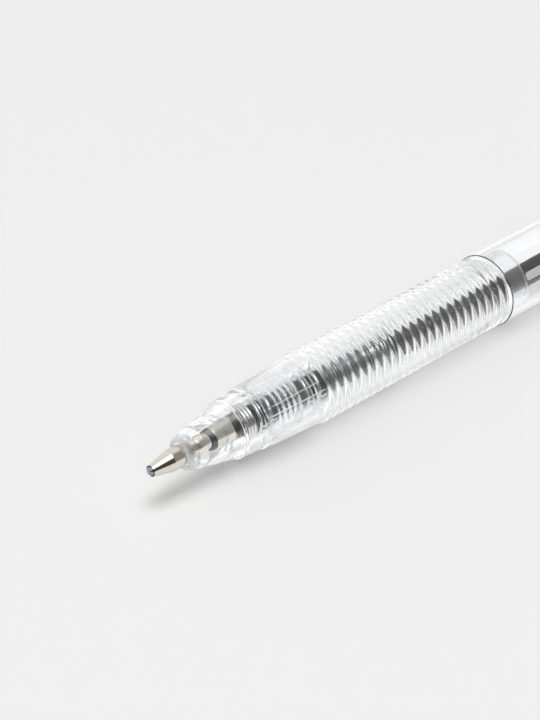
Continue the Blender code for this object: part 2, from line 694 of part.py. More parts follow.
def make_end_collar(pen):
    """The rear bush: a spigot in the upper barrel, and a tapered collar that traps the clip's ring."""
    rear = UPPER_RADIUS - COLLAR_TAPER
    collar = [
        (rear - COLLAR_EDGE, COLLAR_REAR),
        (rear, COLLAR_REAR - COLLAR_EDGE),
        (UPPER_RADIUS, COLLAR_FRONT),
        (LINER_RADIUS, COLLAR_FRONT),
        (LINER_RADIUS, SPIGOT_FRONT),
        (COLLAR_BORE_RADIUS, SPIGOT_FRONT),
        (COLLAR_BORE_RADIUS, COLLAR_REAR),
    ]
    pen.place(turned("end_collar", collar, SHELL_SIDES), BLACK_PLASTIC, turn=math.pi / SHELL_SIDES)


def make_clip(pen):
    """The pocket clip: a flat bent arm with a bump at its tip, on a ring round the collar's spigot."""
    half_ring = CLIP_RING_WIDTH / 2
    ring_radius = UPPER_RADIUS - EDGE_ROUND
    ring = [
        (ring_radius, half_ring),
        (ring_radius, -half_ring),
        (UPPER_BORE_RADIUS, -half_ring),
        (UPPER_BORE_RADIUS, half_ring),
    ]
    clip = turned("pocket_clip", ring, SHELL_SIDES)
    pen.place(clip, BLACK_PLASTIC, z=CLIP_CENTRE, turn=CLIP_ROLL)

    neck = (ring_radius + UPPER_BORE_RADIUS) / 2
    under = CLIP_OUTER - CLIP_THICKNESS
    bump = UPPER_RADIUS + SLIDE_GAP
    tip = -CLIP_LENGTH
    bump_slope = (CLIP_BUMP_LENGTH - CLIP_BUMP_FLAT) / 2
    outline = [
        (neck, half_ring),
        (CLIP_OUTER - CLIP_CORNER, half_ring),
        (CLIP_OUTER, half_ring - CLIP_CORNER),
        (CLIP_OUTER, tip + CLIP_CORNER),
        (CLIP_OUTER - CLIP_CORNER, tip),
        (under, tip),
        (bump, tip + bump_slope),
        (bump, tip + bump_slope + CLIP_BUMP_FLAT),
        (under, tip + CLIP_BUMP_LENGTH),
        (under, -half_ring - CLIP_CORNER),
        (under - CLIP_CORNER, -half_ring),
        (neck, -half_ring),
    ]
    shape = bmesh.new()
    corners = [shape.verts.new((x, -CLIP_WIDTH / 2, z)) for x, z in outline]
    side = shape.faces.new(corners)
    pushed = bmesh.ops.extrude_face_region(shape, geom=[side])
    moved = [v for v in pushed["geom"] if isinstance(v, bmesh.types.BMVert)]
    bmesh.ops.translate(shape, verts=moved, vec=(0, CLIP_WIDTH, 0))
    bmesh.ops.triangulate(shape, faces=[f for f in shape.faces if len(f.verts) > 4])
    pen.combine(clip, "UNION", [mesh_object("clip_arm", shape)])


def main():
    """Build every piece of the pen."""
    clear_scene()
    pen = Pen()
    make_refill(pen)
    make_nose(pen)
    make_lower_barrel(pen)
    make_upper_barrel(pen)
    make_spring(pen)
    make_cam_guide(pen)
    make_rotor(pen)
    make_thrust_rod(pen)
    make_button(pen)
    make_end_collar(pen)
    make_clip(pen)


main()
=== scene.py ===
"""Looks of a clear retractable ballpoint pen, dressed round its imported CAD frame.

The pen lies along world X with its point at -X. A turned piece is a surface of two parameters,
the distance along the pen and the angle round its axis. Lengths are in metres.
"""

from __future__ import annotations

import logging
import math
from collections.abc import Callable
from dataclasses import dataclass, replace
from enum import Enum

import bpy
import numpy as np
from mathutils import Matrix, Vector

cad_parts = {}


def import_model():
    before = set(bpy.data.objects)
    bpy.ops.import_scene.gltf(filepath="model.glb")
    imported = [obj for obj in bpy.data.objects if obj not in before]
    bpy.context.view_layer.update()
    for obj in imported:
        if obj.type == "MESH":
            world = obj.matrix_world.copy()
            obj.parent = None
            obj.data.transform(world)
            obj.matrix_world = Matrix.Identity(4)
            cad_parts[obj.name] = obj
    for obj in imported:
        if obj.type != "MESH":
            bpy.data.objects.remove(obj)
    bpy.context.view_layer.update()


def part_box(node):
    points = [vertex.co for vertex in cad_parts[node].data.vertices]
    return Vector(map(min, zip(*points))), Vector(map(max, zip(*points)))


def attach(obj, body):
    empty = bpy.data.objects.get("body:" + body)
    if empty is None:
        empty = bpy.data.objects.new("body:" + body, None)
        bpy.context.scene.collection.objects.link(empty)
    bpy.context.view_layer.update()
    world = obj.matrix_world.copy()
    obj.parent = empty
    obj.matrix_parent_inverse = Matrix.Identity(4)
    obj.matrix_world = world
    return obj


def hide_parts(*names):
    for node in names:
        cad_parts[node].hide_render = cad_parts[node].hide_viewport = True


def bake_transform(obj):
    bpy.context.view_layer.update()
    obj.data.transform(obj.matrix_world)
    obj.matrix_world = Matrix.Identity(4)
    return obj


LOG = logging.getLogger("pen")
TINY = 1e-8
HALF = 0.5
WHITE = (1.0, 1.0, 1.0, 1.0)
CLOSE_ANGLE = math.radians(0.3)
SHARP_ANGLE = math.radians(40)
SIDE_SHARE = 0.3
FLANK = 1.5
CROWDING = 1.5
QUARTER_STEPS = 6
TURNED_DETAIL = 3.0
MOULDED_DETAIL = 4.0
MOULDED_ROUGHNESS = 0.6
MIX_SOCKETS = {"FLOAT": ((0, 2, 3), 0), "RGBA": ((0, 6, 7), 2)}

Array = np.ndarray
Corners = list[tuple[float, float]]
Form = Callable[[Array, Array, Array], tuple[Array, Array]]
Sag = Callable[[Array], Array]


class Body(Enum):
    """The CAD bodies that pieces ride on."""

    BARREL = "barrel"
    REFILL = "refill"
    BALL = "ball"
    ROTOR = "rotor"
    BUTTON = "button"
    CLIP = "clip"


class Grain(Enum):
    """The fine texture that making a piece leaves on its surface."""

    MOULDED = "moulded_surface"
    TURNED = "turned_lines"


@dataclass(frozen=True)
class Extent:
    """Where a CAD node lies along the pen, and its widest radius."""

    front: float
    rear: float
    radius: float

    @classmethod
    def of(cls, node: str) -> Extent:
        """Read a node's place from the frame.

        Args:
            node: The CAD node's name.

        Returns:
            Its front, rear and radius.
        """
        low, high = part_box(node)
        return cls(low.x, high.x, (high.z - low.z) / 2)

    @property
    def length(self) -> float:
        """Distance from front to rear."""
        return self.rear - self.front


@dataclass(frozen=True)
class Axis:
    """The pen's long axis, which runs along world X."""

    y: float
    z: float

    def around(self, x: Array, radius: Array, angle: Array) -> Array:
        """Points at a radius from the axis.

        Args:
            x: Places along the axis.
            radius: Distances from the axis.
            angle: Angles counted from straight up towards +Y.

        Returns:
            World points, with x, y and z in the last dimension.
        """
        across = self.y + radius * np.sin(angle)
        height = self.z + radius * np.cos(angle)
        return np.stack(np.broadcast_arrays(x, across, height), axis=-1)


def rounded(corners: Array | Corners, radius: float | Array, steps: int = 5, ring: bool = True) -> Array:
    """A profile with its corners rounded.

    A corner C becomes the curve (1-t)^2 A + 2t(1-t) C + t^2 B. A and B lie on its two sides, the
    rounding radius away from C or at most SIDE_SHARE of the side. One more point on each side, FLANK
    times as far, keeps the long sides' shading flat.

    Args:
        corners: Profile points as rows of x and radius.
        radius: One rounding radius, or one for each corner.
        steps: Points on each rounding.
        ring: Whether the last corner joins the first.

    Returns:
        The rounded profile, with doubled points left out.
    """
    corners = np.array(corners, float)
    reach = np.broadcast_to(np.asarray(radius, float), len(corners)).copy()
    if not ring:
        reach[[0, -1]] = 0.0

    def towards(other: Array, share: float) -> Array:
        """Points on the sides from the corners to others.

        Args:
            other: The other corners.
            share: How far along, as a share of the reach.

        Returns:
            A point for each corner.
        """
        side = other - corners
        length = np.maximum(np.linalg.norm(side, axis=1), TINY)
        moved = share * np.minimum(reach, SIDE_SHARE * length) / length
        return (corners + side * moved[:, None])[:, None]

    before, after = np.roll(corners, 1, axis=0), np.roll(corners, -1, axis=0)
    first, last = towards(before, 1.0), towards(after, 1.0)
    t = np.linspace(0, 1, steps)[None, :, None]
    curve = (1 - t) ** 2 * first + 2 * t * (1 - t) * corners[:, None] + t**2 * last
    points = np.concatenate([towards(before, FLANK), curve, towards(after, FLANK)], axis=1).reshape(-1, 2)
    apart = np.linalg.norm(np.diff(points, axis=0, prepend=points[-1:] + 1.0), axis=1)
    return points[apart > TINY]


def densified(profile: Array, longest: float) -> Array:
    """A profile with points added along its long sides.

    Args:
        profile: Profile points as rows of x and radius.
        longest: The longest side that may stay.

    Returns:
        Points at the old places and at even distances between them.
    """
    along = np.concatenate([[0], np.cumsum(np.linalg.norm(np.diff(profile, axis=0), axis=1))])
    places = np.union1d(along, np.arange(0, along[-1], longest))
    places = places[np.diff(places, prepend=-1.0) > TINY]
    return np.stack([np.interp(places, along, profile[:, k]) for k in (0, 1)], axis=1)


def joined(curve: Array, corners: Array | Corners, radius: float | Array) -> Array:
    """A closed profile of a smooth curve and a run of rounded corners.

    Args:
        curve: Points of the smooth stretch, which stay as they are.
        corners: Corners that follow it.
        radius: One rounding radius for the corners, or one for each. The curve's start has the last.

    Returns:
        The closed profile.
    """
    reach = np.broadcast_to(np.asarray(radius, float), len(corners))
    reach = np.concatenate([reach[-1:], np.zeros(len(curve) - 1), reach])
    return rounded(np.concatenate([curve, corners]), reach)


def bullet(front: float, rear: float, narrow: float, wide: float, fullness: float, steps: int) -> Array:
    """Outline of a bullet nose: radius = narrow + (wide - narrow) * share^fullness.

    Args:
        front: Where the curve starts.
        rear: Where it ends.
        narrow: Radius at the front.
        wide: Radius at the rear.
        fullness: Exponent, fuller the smaller it is.
        steps: Number of points, which crowd towards the front.

    Returns:
        Profile points from front to rear.
    """
    share = np.linspace(0, 1, steps) ** CROWDING
    return np.stack([front + (rear - front) * share, narrow + (wide - narrow) * share**fullness], axis=1)


def tube_corners(front: float, rear: float, radius: float, bore: float) -> Corners:
    """The four corners of a plain tube's wall."""
    return [(front, radius), (rear, radius), (rear, bore), (front, bore)]


def linked(name: str, data: bpy.types.ID) -> bpy.types.Object:
    """A new object, linked to the scene.

    Args:
        name: Its name.
        data: Its mesh, lamp or camera.

    Returns:
        The object.
    """
    item = bpy.data.objects.new(name, data)
    bpy.context.scene.collection.objects.link(item)
    return item


def closed_mesh(name: str, points: Array, ring: bool) -> bpy.types.Object:
    """An object from a grid whose columns wrap round.

    Args:
        name: The piece's name.
        points: Grid of points as rows, columns and coordinates.
        ring: True if the rows wrap too. If not, the first and last row each close in one point.

    Returns:
        The object, with its faces turned outwards.
    """
    poles = points[:0, 0] if ring else points[[0, -1]].mean(axis=1)
    body = points if ring else points[1:-1]
    rows, columns = body.shape[:2]
    index = np.arange(rows * columns).reshape(rows, columns)
    here = index if ring else index[:-1]
    there = np.roll(index, -1, axis=0) if ring else index[1:]
    quads = np.stack([here, np.roll(here, -1, 1), np.roll(there, -1, 1), there], axis=-1).reshape(-1, 4)
    fans = np.zeros((0, 3), int)
    if not ring:
        first, last = index[0], index[-1]
        front_pole = np.full(columns, rows * columns)
        front = np.stack([np.roll(first, -1), first, front_pole], axis=1)
        rear = np.stack([last, np.roll(last, -1), front_pole + 1], axis=1)
        fans = np.concatenate([front, rear])
    places = np.concatenate([body.reshape(-1, 3), poles])
    triangles = np.concatenate([quads[:, [0, 1, 2]], quads[:, [0, 2, 3]], fans])
    a, b, c = (places[triangles[:, k]] - places[0] for k in range(3))
    if np.einsum("ij,ij->i", a, np.cross(b, c)).sum() < 0:
        quads, fans = quads[:, ::-1], fans[:, ::-1]
    mesh = bpy.data.meshes.new(name)
    mesh.from_pydata(places.tolist(), [], quads.tolist() + fans.tolist())
    mesh.shade_smooth()
    mesh.set_sharp_from_angle(angle=SHARP_ANGLE)
    return linked(name, mesh)


def even_angles(sides: int) -> Array:
    """Angles spread evenly round a full turn."""
    return np.linspace(0, 2 * math.pi, sides, endpoint=False)


def column_angles(sides: int, extra: Array) -> Array:
    """Even angles round a turn, with extra ones in place of those that lie close to them.

    Args:
        sides: Number of even angles.
        extra: Angles that have to be there.

    Returns:
        The angles in order.
    """
    turn = 2 * math.pi
    even = even_angles(sides)
    apart = np.abs((even[:, None] - extra + math.pi) % turn - math.pi).min(axis=1)
    return np.sort(np.concatenate([even[apart > CLOSE_ANGLE], extra % turn]))


def flowing(controls: Array, steps: int) -> Array:
    """A smooth path along control points, from the first to the last: a quadratic B-spline.

    Three controls P, Q and R in a row give ((1-t)^2 P + (1 + 2t - 2t^2) Q + t^2 R) / 2.

    Args:
        controls: Control points as rows.
        steps: Points for each three controls.

    Returns:
        Points of the path as rows.
    """
    ends = np.concatenate([controls[:1], controls, controls[-1:]])
    t = np.linspace(0, 1, steps, endpoint=False)[None, :, None]
    p, q, r = (ends[k : len(ends) - 2 + k][:, None] for k in range(3))
    curve = ((1 - t) ** 2 * p + (1 + 2 * t - 2 * t**2) * q + t**2 * r) / 2
    return np.concatenate([curve.reshape(-1, controls.shape[1]), controls[-1:]])


def rounded_rectangle(wide: Array, tall: Array, radius: float) -> tuple[Array, Array]:
    """Sections whose corners are quarter circles, with one more point beyond each end of a corner.

    Args:
        wide: Half widths, one for each section, in a column.
        tall: Half heights in the same way.
        radius: Radius of the corners.

    Returns:
        Places across and up, a row for each section.
    """
    beyond = 0.25
    turn = even_angles(4)[:, None] + np.linspace(0, math.pi / 2, QUARTER_STEPS)
    arc = np.stack([np.cos(turn), np.sin(turn)])
    along = np.stack([-np.sin(turn), np.cos(turn)])
    before = arc[..., :1] - beyond * along[..., :1]
    after = arc[..., -1:] + beyond * along[..., -1:]
    across, up = np.concatenate([before, arc, after], axis=2)
    right = np.repeat([1, -1, -1, 1], across.shape[1])
    above = np.repeat([1, 1, -1, -1], across.shape[1])
    return (wide - radius) * right + radius * across.ravel(), (tall - radius) * above + radius * up.ravel()


def turned(
    name: str,
    axis: Axis,
    profile: Array,
    sides: int | Array = 128,
    ring: bool = True,
    form: Form | None = None,
    sag: Sag | None = None,
) -> bpy.types.Object:
    """A piece of revolution: the profile's radius carried round the axis.

    Args:
        name: The piece's name.
        axis: The pen's axis.
        profile: Rows of x and radius.
        sides: Number of even columns round the axis, or the columns' angles.
        ring: True for a closed profile, False for one that starts and ends on the axis.
        form: Gives new x and radius from x, radius and angle, for ridges, threads and teeth.
        sag: Gives how far the axis hangs down at x.

    Returns:
        The object.
    """
    x = profile[:, 0][:, None]
    radius = profile[:, 1][:, None]
    angle = (even_angles(sides) if isinstance(sides, int) else sides)[None, :]
    if form is not None:
        x, radius = form(x, radius, angle)
    points = axis.around(x, radius, angle)
    if sag is not None:
        points[..., 2] -= sag(points[..., 0])
    return closed_mesh(name, points, ring)


class Nodes:
    """A short way to add linked nodes to a shader tree."""

    def __init__(self, tree: bpy.types.NodeTree) -> None:
        """Keep the tree that nodes are added to."""
        self.tree = tree

    def add(self, kind: str, settings: dict | None = None, **inputs: object) -> bpy.types.Node:
        """Add a node.

        Args:
            kind: The node's type.
            settings: Values of the node's own properties.
            inputs: Values or sockets for its inputs, by name with spaces written as underscores.

        Returns:
            The node.
        """
        node = self.tree.nodes.new(kind)
        for key, value in (settings or {}).items():
            setattr(node, key, value)
        for key, value in inputs.items():
            self.feed(node.inputs[key.replace("_", " ")], value)
        return node

    def feed(self, socket: bpy.types.NodeSocket, value: object) -> None:
        """Link a socket to an input, or set the input's value.

        Args:
            socket: The input.
            value: A socket or a plain value.
        """
        if isinstance(value, bpy.types.NodeSocket):
            self.tree.links.new(value, socket)
        else:
            socket.default_value = value

    def math(
        self, operation: str, first: object, second: object = 0.0, kind: str = "ShaderNodeMath"
    ) -> bpy.types.NodeSocket:
        """Result of a Math node on two values or sockets.

        Args:
            operation: What the node does with them.
            first: Value or socket of its first input.
            second: Value or socket of its second input.
            kind: The node's type, for numbers or for vectors.

        Returns:
            The result socket.
        """
        node = self.add(kind, {"operation": operation})
        self.feed(node.inputs[0], first)
        self.feed(node.inputs[1], second)
        return node.outputs["Value"]

    def ramp(self, value: object, span: tuple[float, float], levels: tuple) -> bpy.types.NodeSocket:
        """A smooth step between two levels.

        Args:
            value: The socket that is followed.
            span: Where the step starts and ends.
            levels: Values or sockets before and after the step.

        Returns:
            The result socket.
        """
        node = self.add("ShaderNodeMapRange", {"interpolation_type": "SMOOTHSTEP"}, Value=value)
        for name, level in zip(("From Min", "From Max", "To Min", "To Max"), (*span, *levels)):
            self.feed(node.inputs[name], level)
        return node.outputs["Result"]

    def mix(self, share: object, first: object, second: object, kind: str = "RGBA") -> bpy.types.NodeSocket:
        """A mix of two colours or of two numbers.

        Args:
            share: How much of the second it takes.
            first: Value or socket at share 0.
            second: Value or socket at share 1.
            kind: RGBA for colours, FLOAT for numbers.

        Returns:
            The result socket.
        """
        node = self.add("ShaderNodeMix", {"data_type": kind})
        sockets, result = MIX_SOCKETS[kind]
        for socket, value in zip(sockets, (share, first, second)):
            self.feed(node.inputs[socket], value)
        return node.outputs[result]

    def dot(self, first: object, second: object) -> bpy.types.NodeSocket:
        """Dot product of two vectors or vector sockets."""
        return self.math("DOT_PRODUCT", first, second, "ShaderNodeVectorMath")

    def place(self) -> bpy.types.NodeOutputs:
        """Sockets X, Y and Z of the place in the object."""
        whole = self.add("ShaderNodeTexCoord").outputs["Object"]
        return self.add("ShaderNodeSeparateXYZ", Vector=whole).outputs


def surface_group(grain: Grain) -> bpy.types.ShaderNodeTree:
    """The shared node group of a grain, built once.

    MOULDED varies softly in every direction. TURNED varies in fine rings along the pen.

    Args:
        grain: Which texture.

    Returns:
        A group with Roughness and Height outputs.
    """
    known = bpy.data.node_groups.get(grain.value)
    if known is not None:
        return known
    group = bpy.data.node_groups.new(grain.value, "ShaderNodeTree")
    for name in ("Roughness", "Variation", "Scale"):
        group.interface.new_socket(name, in_out="INPUT", socket_type="NodeSocketFloat")
    for name in ("Roughness", "Height"):
        group.interface.new_socket(name, in_out="OUTPUT", socket_type="NodeSocketFloat")
    nodes = Nodes(group)
    given = nodes.add("NodeGroupInput").outputs
    if grain is Grain.TURNED:
        along = nodes.place()["X"]
        noise = nodes.add("ShaderNodeTexNoise", {"noise_dimensions": "1D"}, W=along, Detail=TURNED_DETAIL)
    else:
        whole = nodes.add("ShaderNodeTexCoord").outputs["Object"]
        noise = nodes.add("ShaderNodeTexNoise", Vector=whole, Detail=MOULDED_DETAIL)
        noise.inputs["Roughness"].default_value = MOULDED_ROUGHNESS
    nodes.feed(noise.inputs["Scale"], given["Scale"])
    fine = noise.outputs["Fac"]
    change = nodes.math("MULTIPLY", nodes.math("SUBTRACT", fine, HALF), given["Variation"])
    result = nodes.math("MAXIMUM", nodes.math("ADD", given["Roughness"], change), 0.0)
    out = nodes.add("NodeGroupOutput")
    nodes.feed(out.inputs["Roughness"], result)
    nodes.feed(out.inputs["Height"], fine)
    return group


@dataclass(frozen=True)
class Finish:
    """A solid finish: colour, metal, gloss and the grain that making it left."""

    name: str
    colour: tuple[float, float, float]
    metallic: float = 0.0
    roughness: float = 0.3
    variation: float = 0.1
    scale: float = 900.0
    relief: float = 0.00001
    grain: Grain = Grain.MOULDED
    coat: float = 0.0
    specular: float = 0.5

    def shader(self, material: bpy.types.Material) -> tuple[Nodes, bpy.types.Node]:
        """Set up the Principled shader with its grain.

        Args:
            material: The material to fill.

        Returns:
            Its nodes, and the shader.
        """
        material.use_nodes = True
        nodes = Nodes(material.node_tree)
        shader = material.node_tree.nodes["Principled BSDF"]
        shader.inputs["Base Color"].default_value = (*self.colour, 1.0)
        shader.inputs["Metallic"].default_value = self.metallic
        shader.inputs["Coat Weight"].default_value = self.coat
        shader.inputs["Specular IOR Level"].default_value = self.specular
        surface = nodes.add("ShaderNodeGroup", {"node_tree": surface_group(self.grain)})
        surface.inputs["Roughness"].default_value = self.roughness
        surface.inputs["Variation"].default_value = self.variation
        surface.inputs["Scale"].default_value = self.scale
        bump = nodes.add("ShaderNodeBump", Height=surface.outputs["Height"], Distance=self.relief)
        nodes.feed(shader.inputs["Roughness"], surface.outputs["Roughness"])
        nodes.feed(shader.inputs["Normal"], bump.outputs["Normal"])
        return nodes, shader

    def material(self) -> bpy.types.Material:
        """The finish as a material, built once.

        Returns:
            The material that has the finish's name.
        """
        known = bpy.data.materials.get(self.name)
        if known is not None:
            return known
        material = bpy.data.materials.new(self.name)
        self.shader(material)
        return material


@dataclass(frozen=True)
class InkAndShadeFinish(Finish):
    """A metal finish that is dark in front of a place along the pen: wet with ink at the point's lip, and a
    painted shade on the holder's front taper.
    """

    # Dark front colour: real ink on the point, painted shade on the holder.
    ink_and_shade: tuple[float, float, float] = (0.03, 0.03, 0.045)
    ink_and_shade_end: float = 0.0
    fade: float = 0.00005

    def shader(self, material: bpy.types.Material) -> tuple[Nodes, bpy.types.Node]:
        """Set up the shader, with the dark colour in front of its end: ink on the point, painted shade on
        the holder.

        Args:
            material: The material to fill.

        Returns:
            Its nodes, and the shader.
        """
        nodes, shader = super().shader(material)
        span = (self.ink_and_shade_end - self.fade, self.ink_and_shade_end + self.fade)
        undarkened_share = nodes.ramp(nodes.place()["X"], span, (0.0, 1.0))
        colour = nodes.mix(undarkened_share, (*self.ink_and_shade, 1.0), (*self.colour, 1.0))
        nodes.feed(shader.inputs["Base Color"], colour)
        return nodes, shader


@dataclass(frozen=True)
class ClearFinish(Finish):
    """Clear plastic, which refracts, and which lets light through to its shadow."""

    refraction: float = 1.53
    shadow: float = 0.91

    def shader(self, material: bpy.types.Material) -> tuple[Nodes, bpy.types.Node]:
        """Set up the shader, with a transparent veil in its place for shadow rays.

        Args:
            material: The material to fill.

        Returns:
            Its nodes, and the shader.
        """
        nodes, shader = super().shader(material)
        shader.inputs["IOR"].default_value = self.refraction
        shader.inputs["Transmission Weight"].default_value = 1.0
        veil = nodes.add("ShaderNodeBsdfTransparent", Color=(self.shadow,) * 3 + (1.0,))
        ray = nodes.add("ShaderNodeLightPath").outputs["Is Shadow Ray"]
        mix = nodes.add("ShaderNodeMixShader", Fac=ray)
        nodes.feed(mix.inputs[1], shader.outputs[0])
        nodes.feed(mix.inputs[2], veil.outputs[0])
        nodes.feed(material.node_tree.nodes["Material Output"].inputs["Surface"], mix.outputs[0])
        return nodes, shader


@dataclass(frozen=True)
class ShellFinish(ClearFinish):
    """Clear plastic that is polished outside, less smooth in its bore and dull at its front end."""

    axis: tuple[float, float] = (0.0, 0.0)
    bore: float = 0.0
    bore_roughness: float = 0.05
    front: float = -1.0
    front_roughness: float = 0.45
    fade: float = 0.0002

    def shader(self, material: bpy.types.Material) -> tuple[Nodes, bpy.types.Node]:
        """Set up the shader, rougher within the bore's radius and in front of the front end's place.

        Args:
            material: The material to fill.

        Returns:
            Its nodes, and the shader.
        """
        nodes, shader = super().shader(material)
        smooth = shader.inputs["Roughness"].links[0].from_socket
        place = nodes.place()
        across = nodes.math("POWER", nodes.math("SUBTRACT", place["Y"], self.axis[0]), 2.0)
        up = nodes.math("POWER", nodes.math("SUBTRACT", place["Z"], self.axis[1]), 2.0)
        radius = nodes.math("SQRT", nodes.math("ADD", across, up))
        inside = nodes.ramp(radius, (self.bore, self.bore + self.fade), (self.bore_roughness, smooth))
        rough = nodes.ramp(place["X"], (self.front - self.fade, self.front), (self.front_roughness, inside))
        nodes.feed(shader.inputs["Roughness"], rough)
        return nodes, shader


CLEAR_SHELL = ShellFinish(
    "clear_shell", (0.985, 0.99, 0.995), roughness=0.0, variation=0.01, scale=400.0, relief=0.0000008
)
CLEAR_TUBE = ClearFinish(
    "refill_tube_plastic", (0.95, 0.96, 0.96), 0.0, 0.03, 0.03, relief=0.000002, refraction=1.49, shadow=0.7
)
CLEAR_GREASE = ClearFinish(
    "pale_grease", (0.86, 0.78, 0.5), roughness=0.25, variation=0.1, refraction=1.47, shadow=0.6
)
POINT_METAL = InkAndShadeFinish(
    "turned_point_metal", (0.80, 0.75, 0.68), 1.0, 0.12, 0.12, 30000.0, 0.000003, Grain.TURNED
)
# The holder's dark blue-grey front colour is painted shade, standing in for the shadowed gap in the nose.
HOLDER_METAL = replace(POINT_METAL, name="turned_holder_metal", ink_and_shade=(0.09, 0.10, 0.125))
SPRING_WIRE = Finish("drawn_spring_wire", (0.70, 0.71, 0.72), 1.0, 0.2, 0.15, 6000.0, 0.000003)
BALL_CARBIDE = Finish("polished_carbide", (0.34, 0.35, 0.42), 1.0, 0.07, 0.06, 5000.0, 0.000001)
PALE_STRIP = Finish("pale_strip", (0.88, 0.87, 0.86), 0.0, 0.35, 0.12, 2500.0, 0.000003)
BLACK_INK = Finish("thick_black_ink", (0.002, 0.002, 0.003), 0.0, 0.3, 0.1, 800.0, 0.000003, specular=0.0)
BLACK_GLOSS = Finish("black_gloss", (0.012, 0.012, 0.014), 0.0, 0.16, 0.12, 1200.0, 0.000006, coat=0.3)
BLACK_SLIDE = Finish("black_slide", (0.016, 0.016, 0.018), 0.0, 0.4, 0.12, 1500.0, 0.000008)
WHITE_SLIDE = Finish("white_slide", (0.90, 0.90, 0.87), 0.0, 0.38, 0.12, 1500.0, 0.000008)
PALE_FLOOR = Finish("pale_floor", (0.86, 0.86, 0.86), 0.0, 0.7, 0.1, 60.0, 0.0)


def settle(
    piece: bpy.types.Object, finish: Finish, nodes: tuple[str, ...], body: Body | None = None
) -> None:
    """Give a piece its finish and say what it stands for.

    Args:
        piece: The piece, in its place.
        finish: Its finish.
        nodes: The CAD nodes that it replaces, none for an added detail.
        body: The body it rides on, or None for a piece that is blended between bodies.
    """
    piece.data.materials.append(finish.material())
    if body is not None:
        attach(piece, body.value)
    if nodes:
        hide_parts(*nodes)
    LOG.info("%s stands for %s", piece.name, ", ".join(nodes) or "a detail of its own")


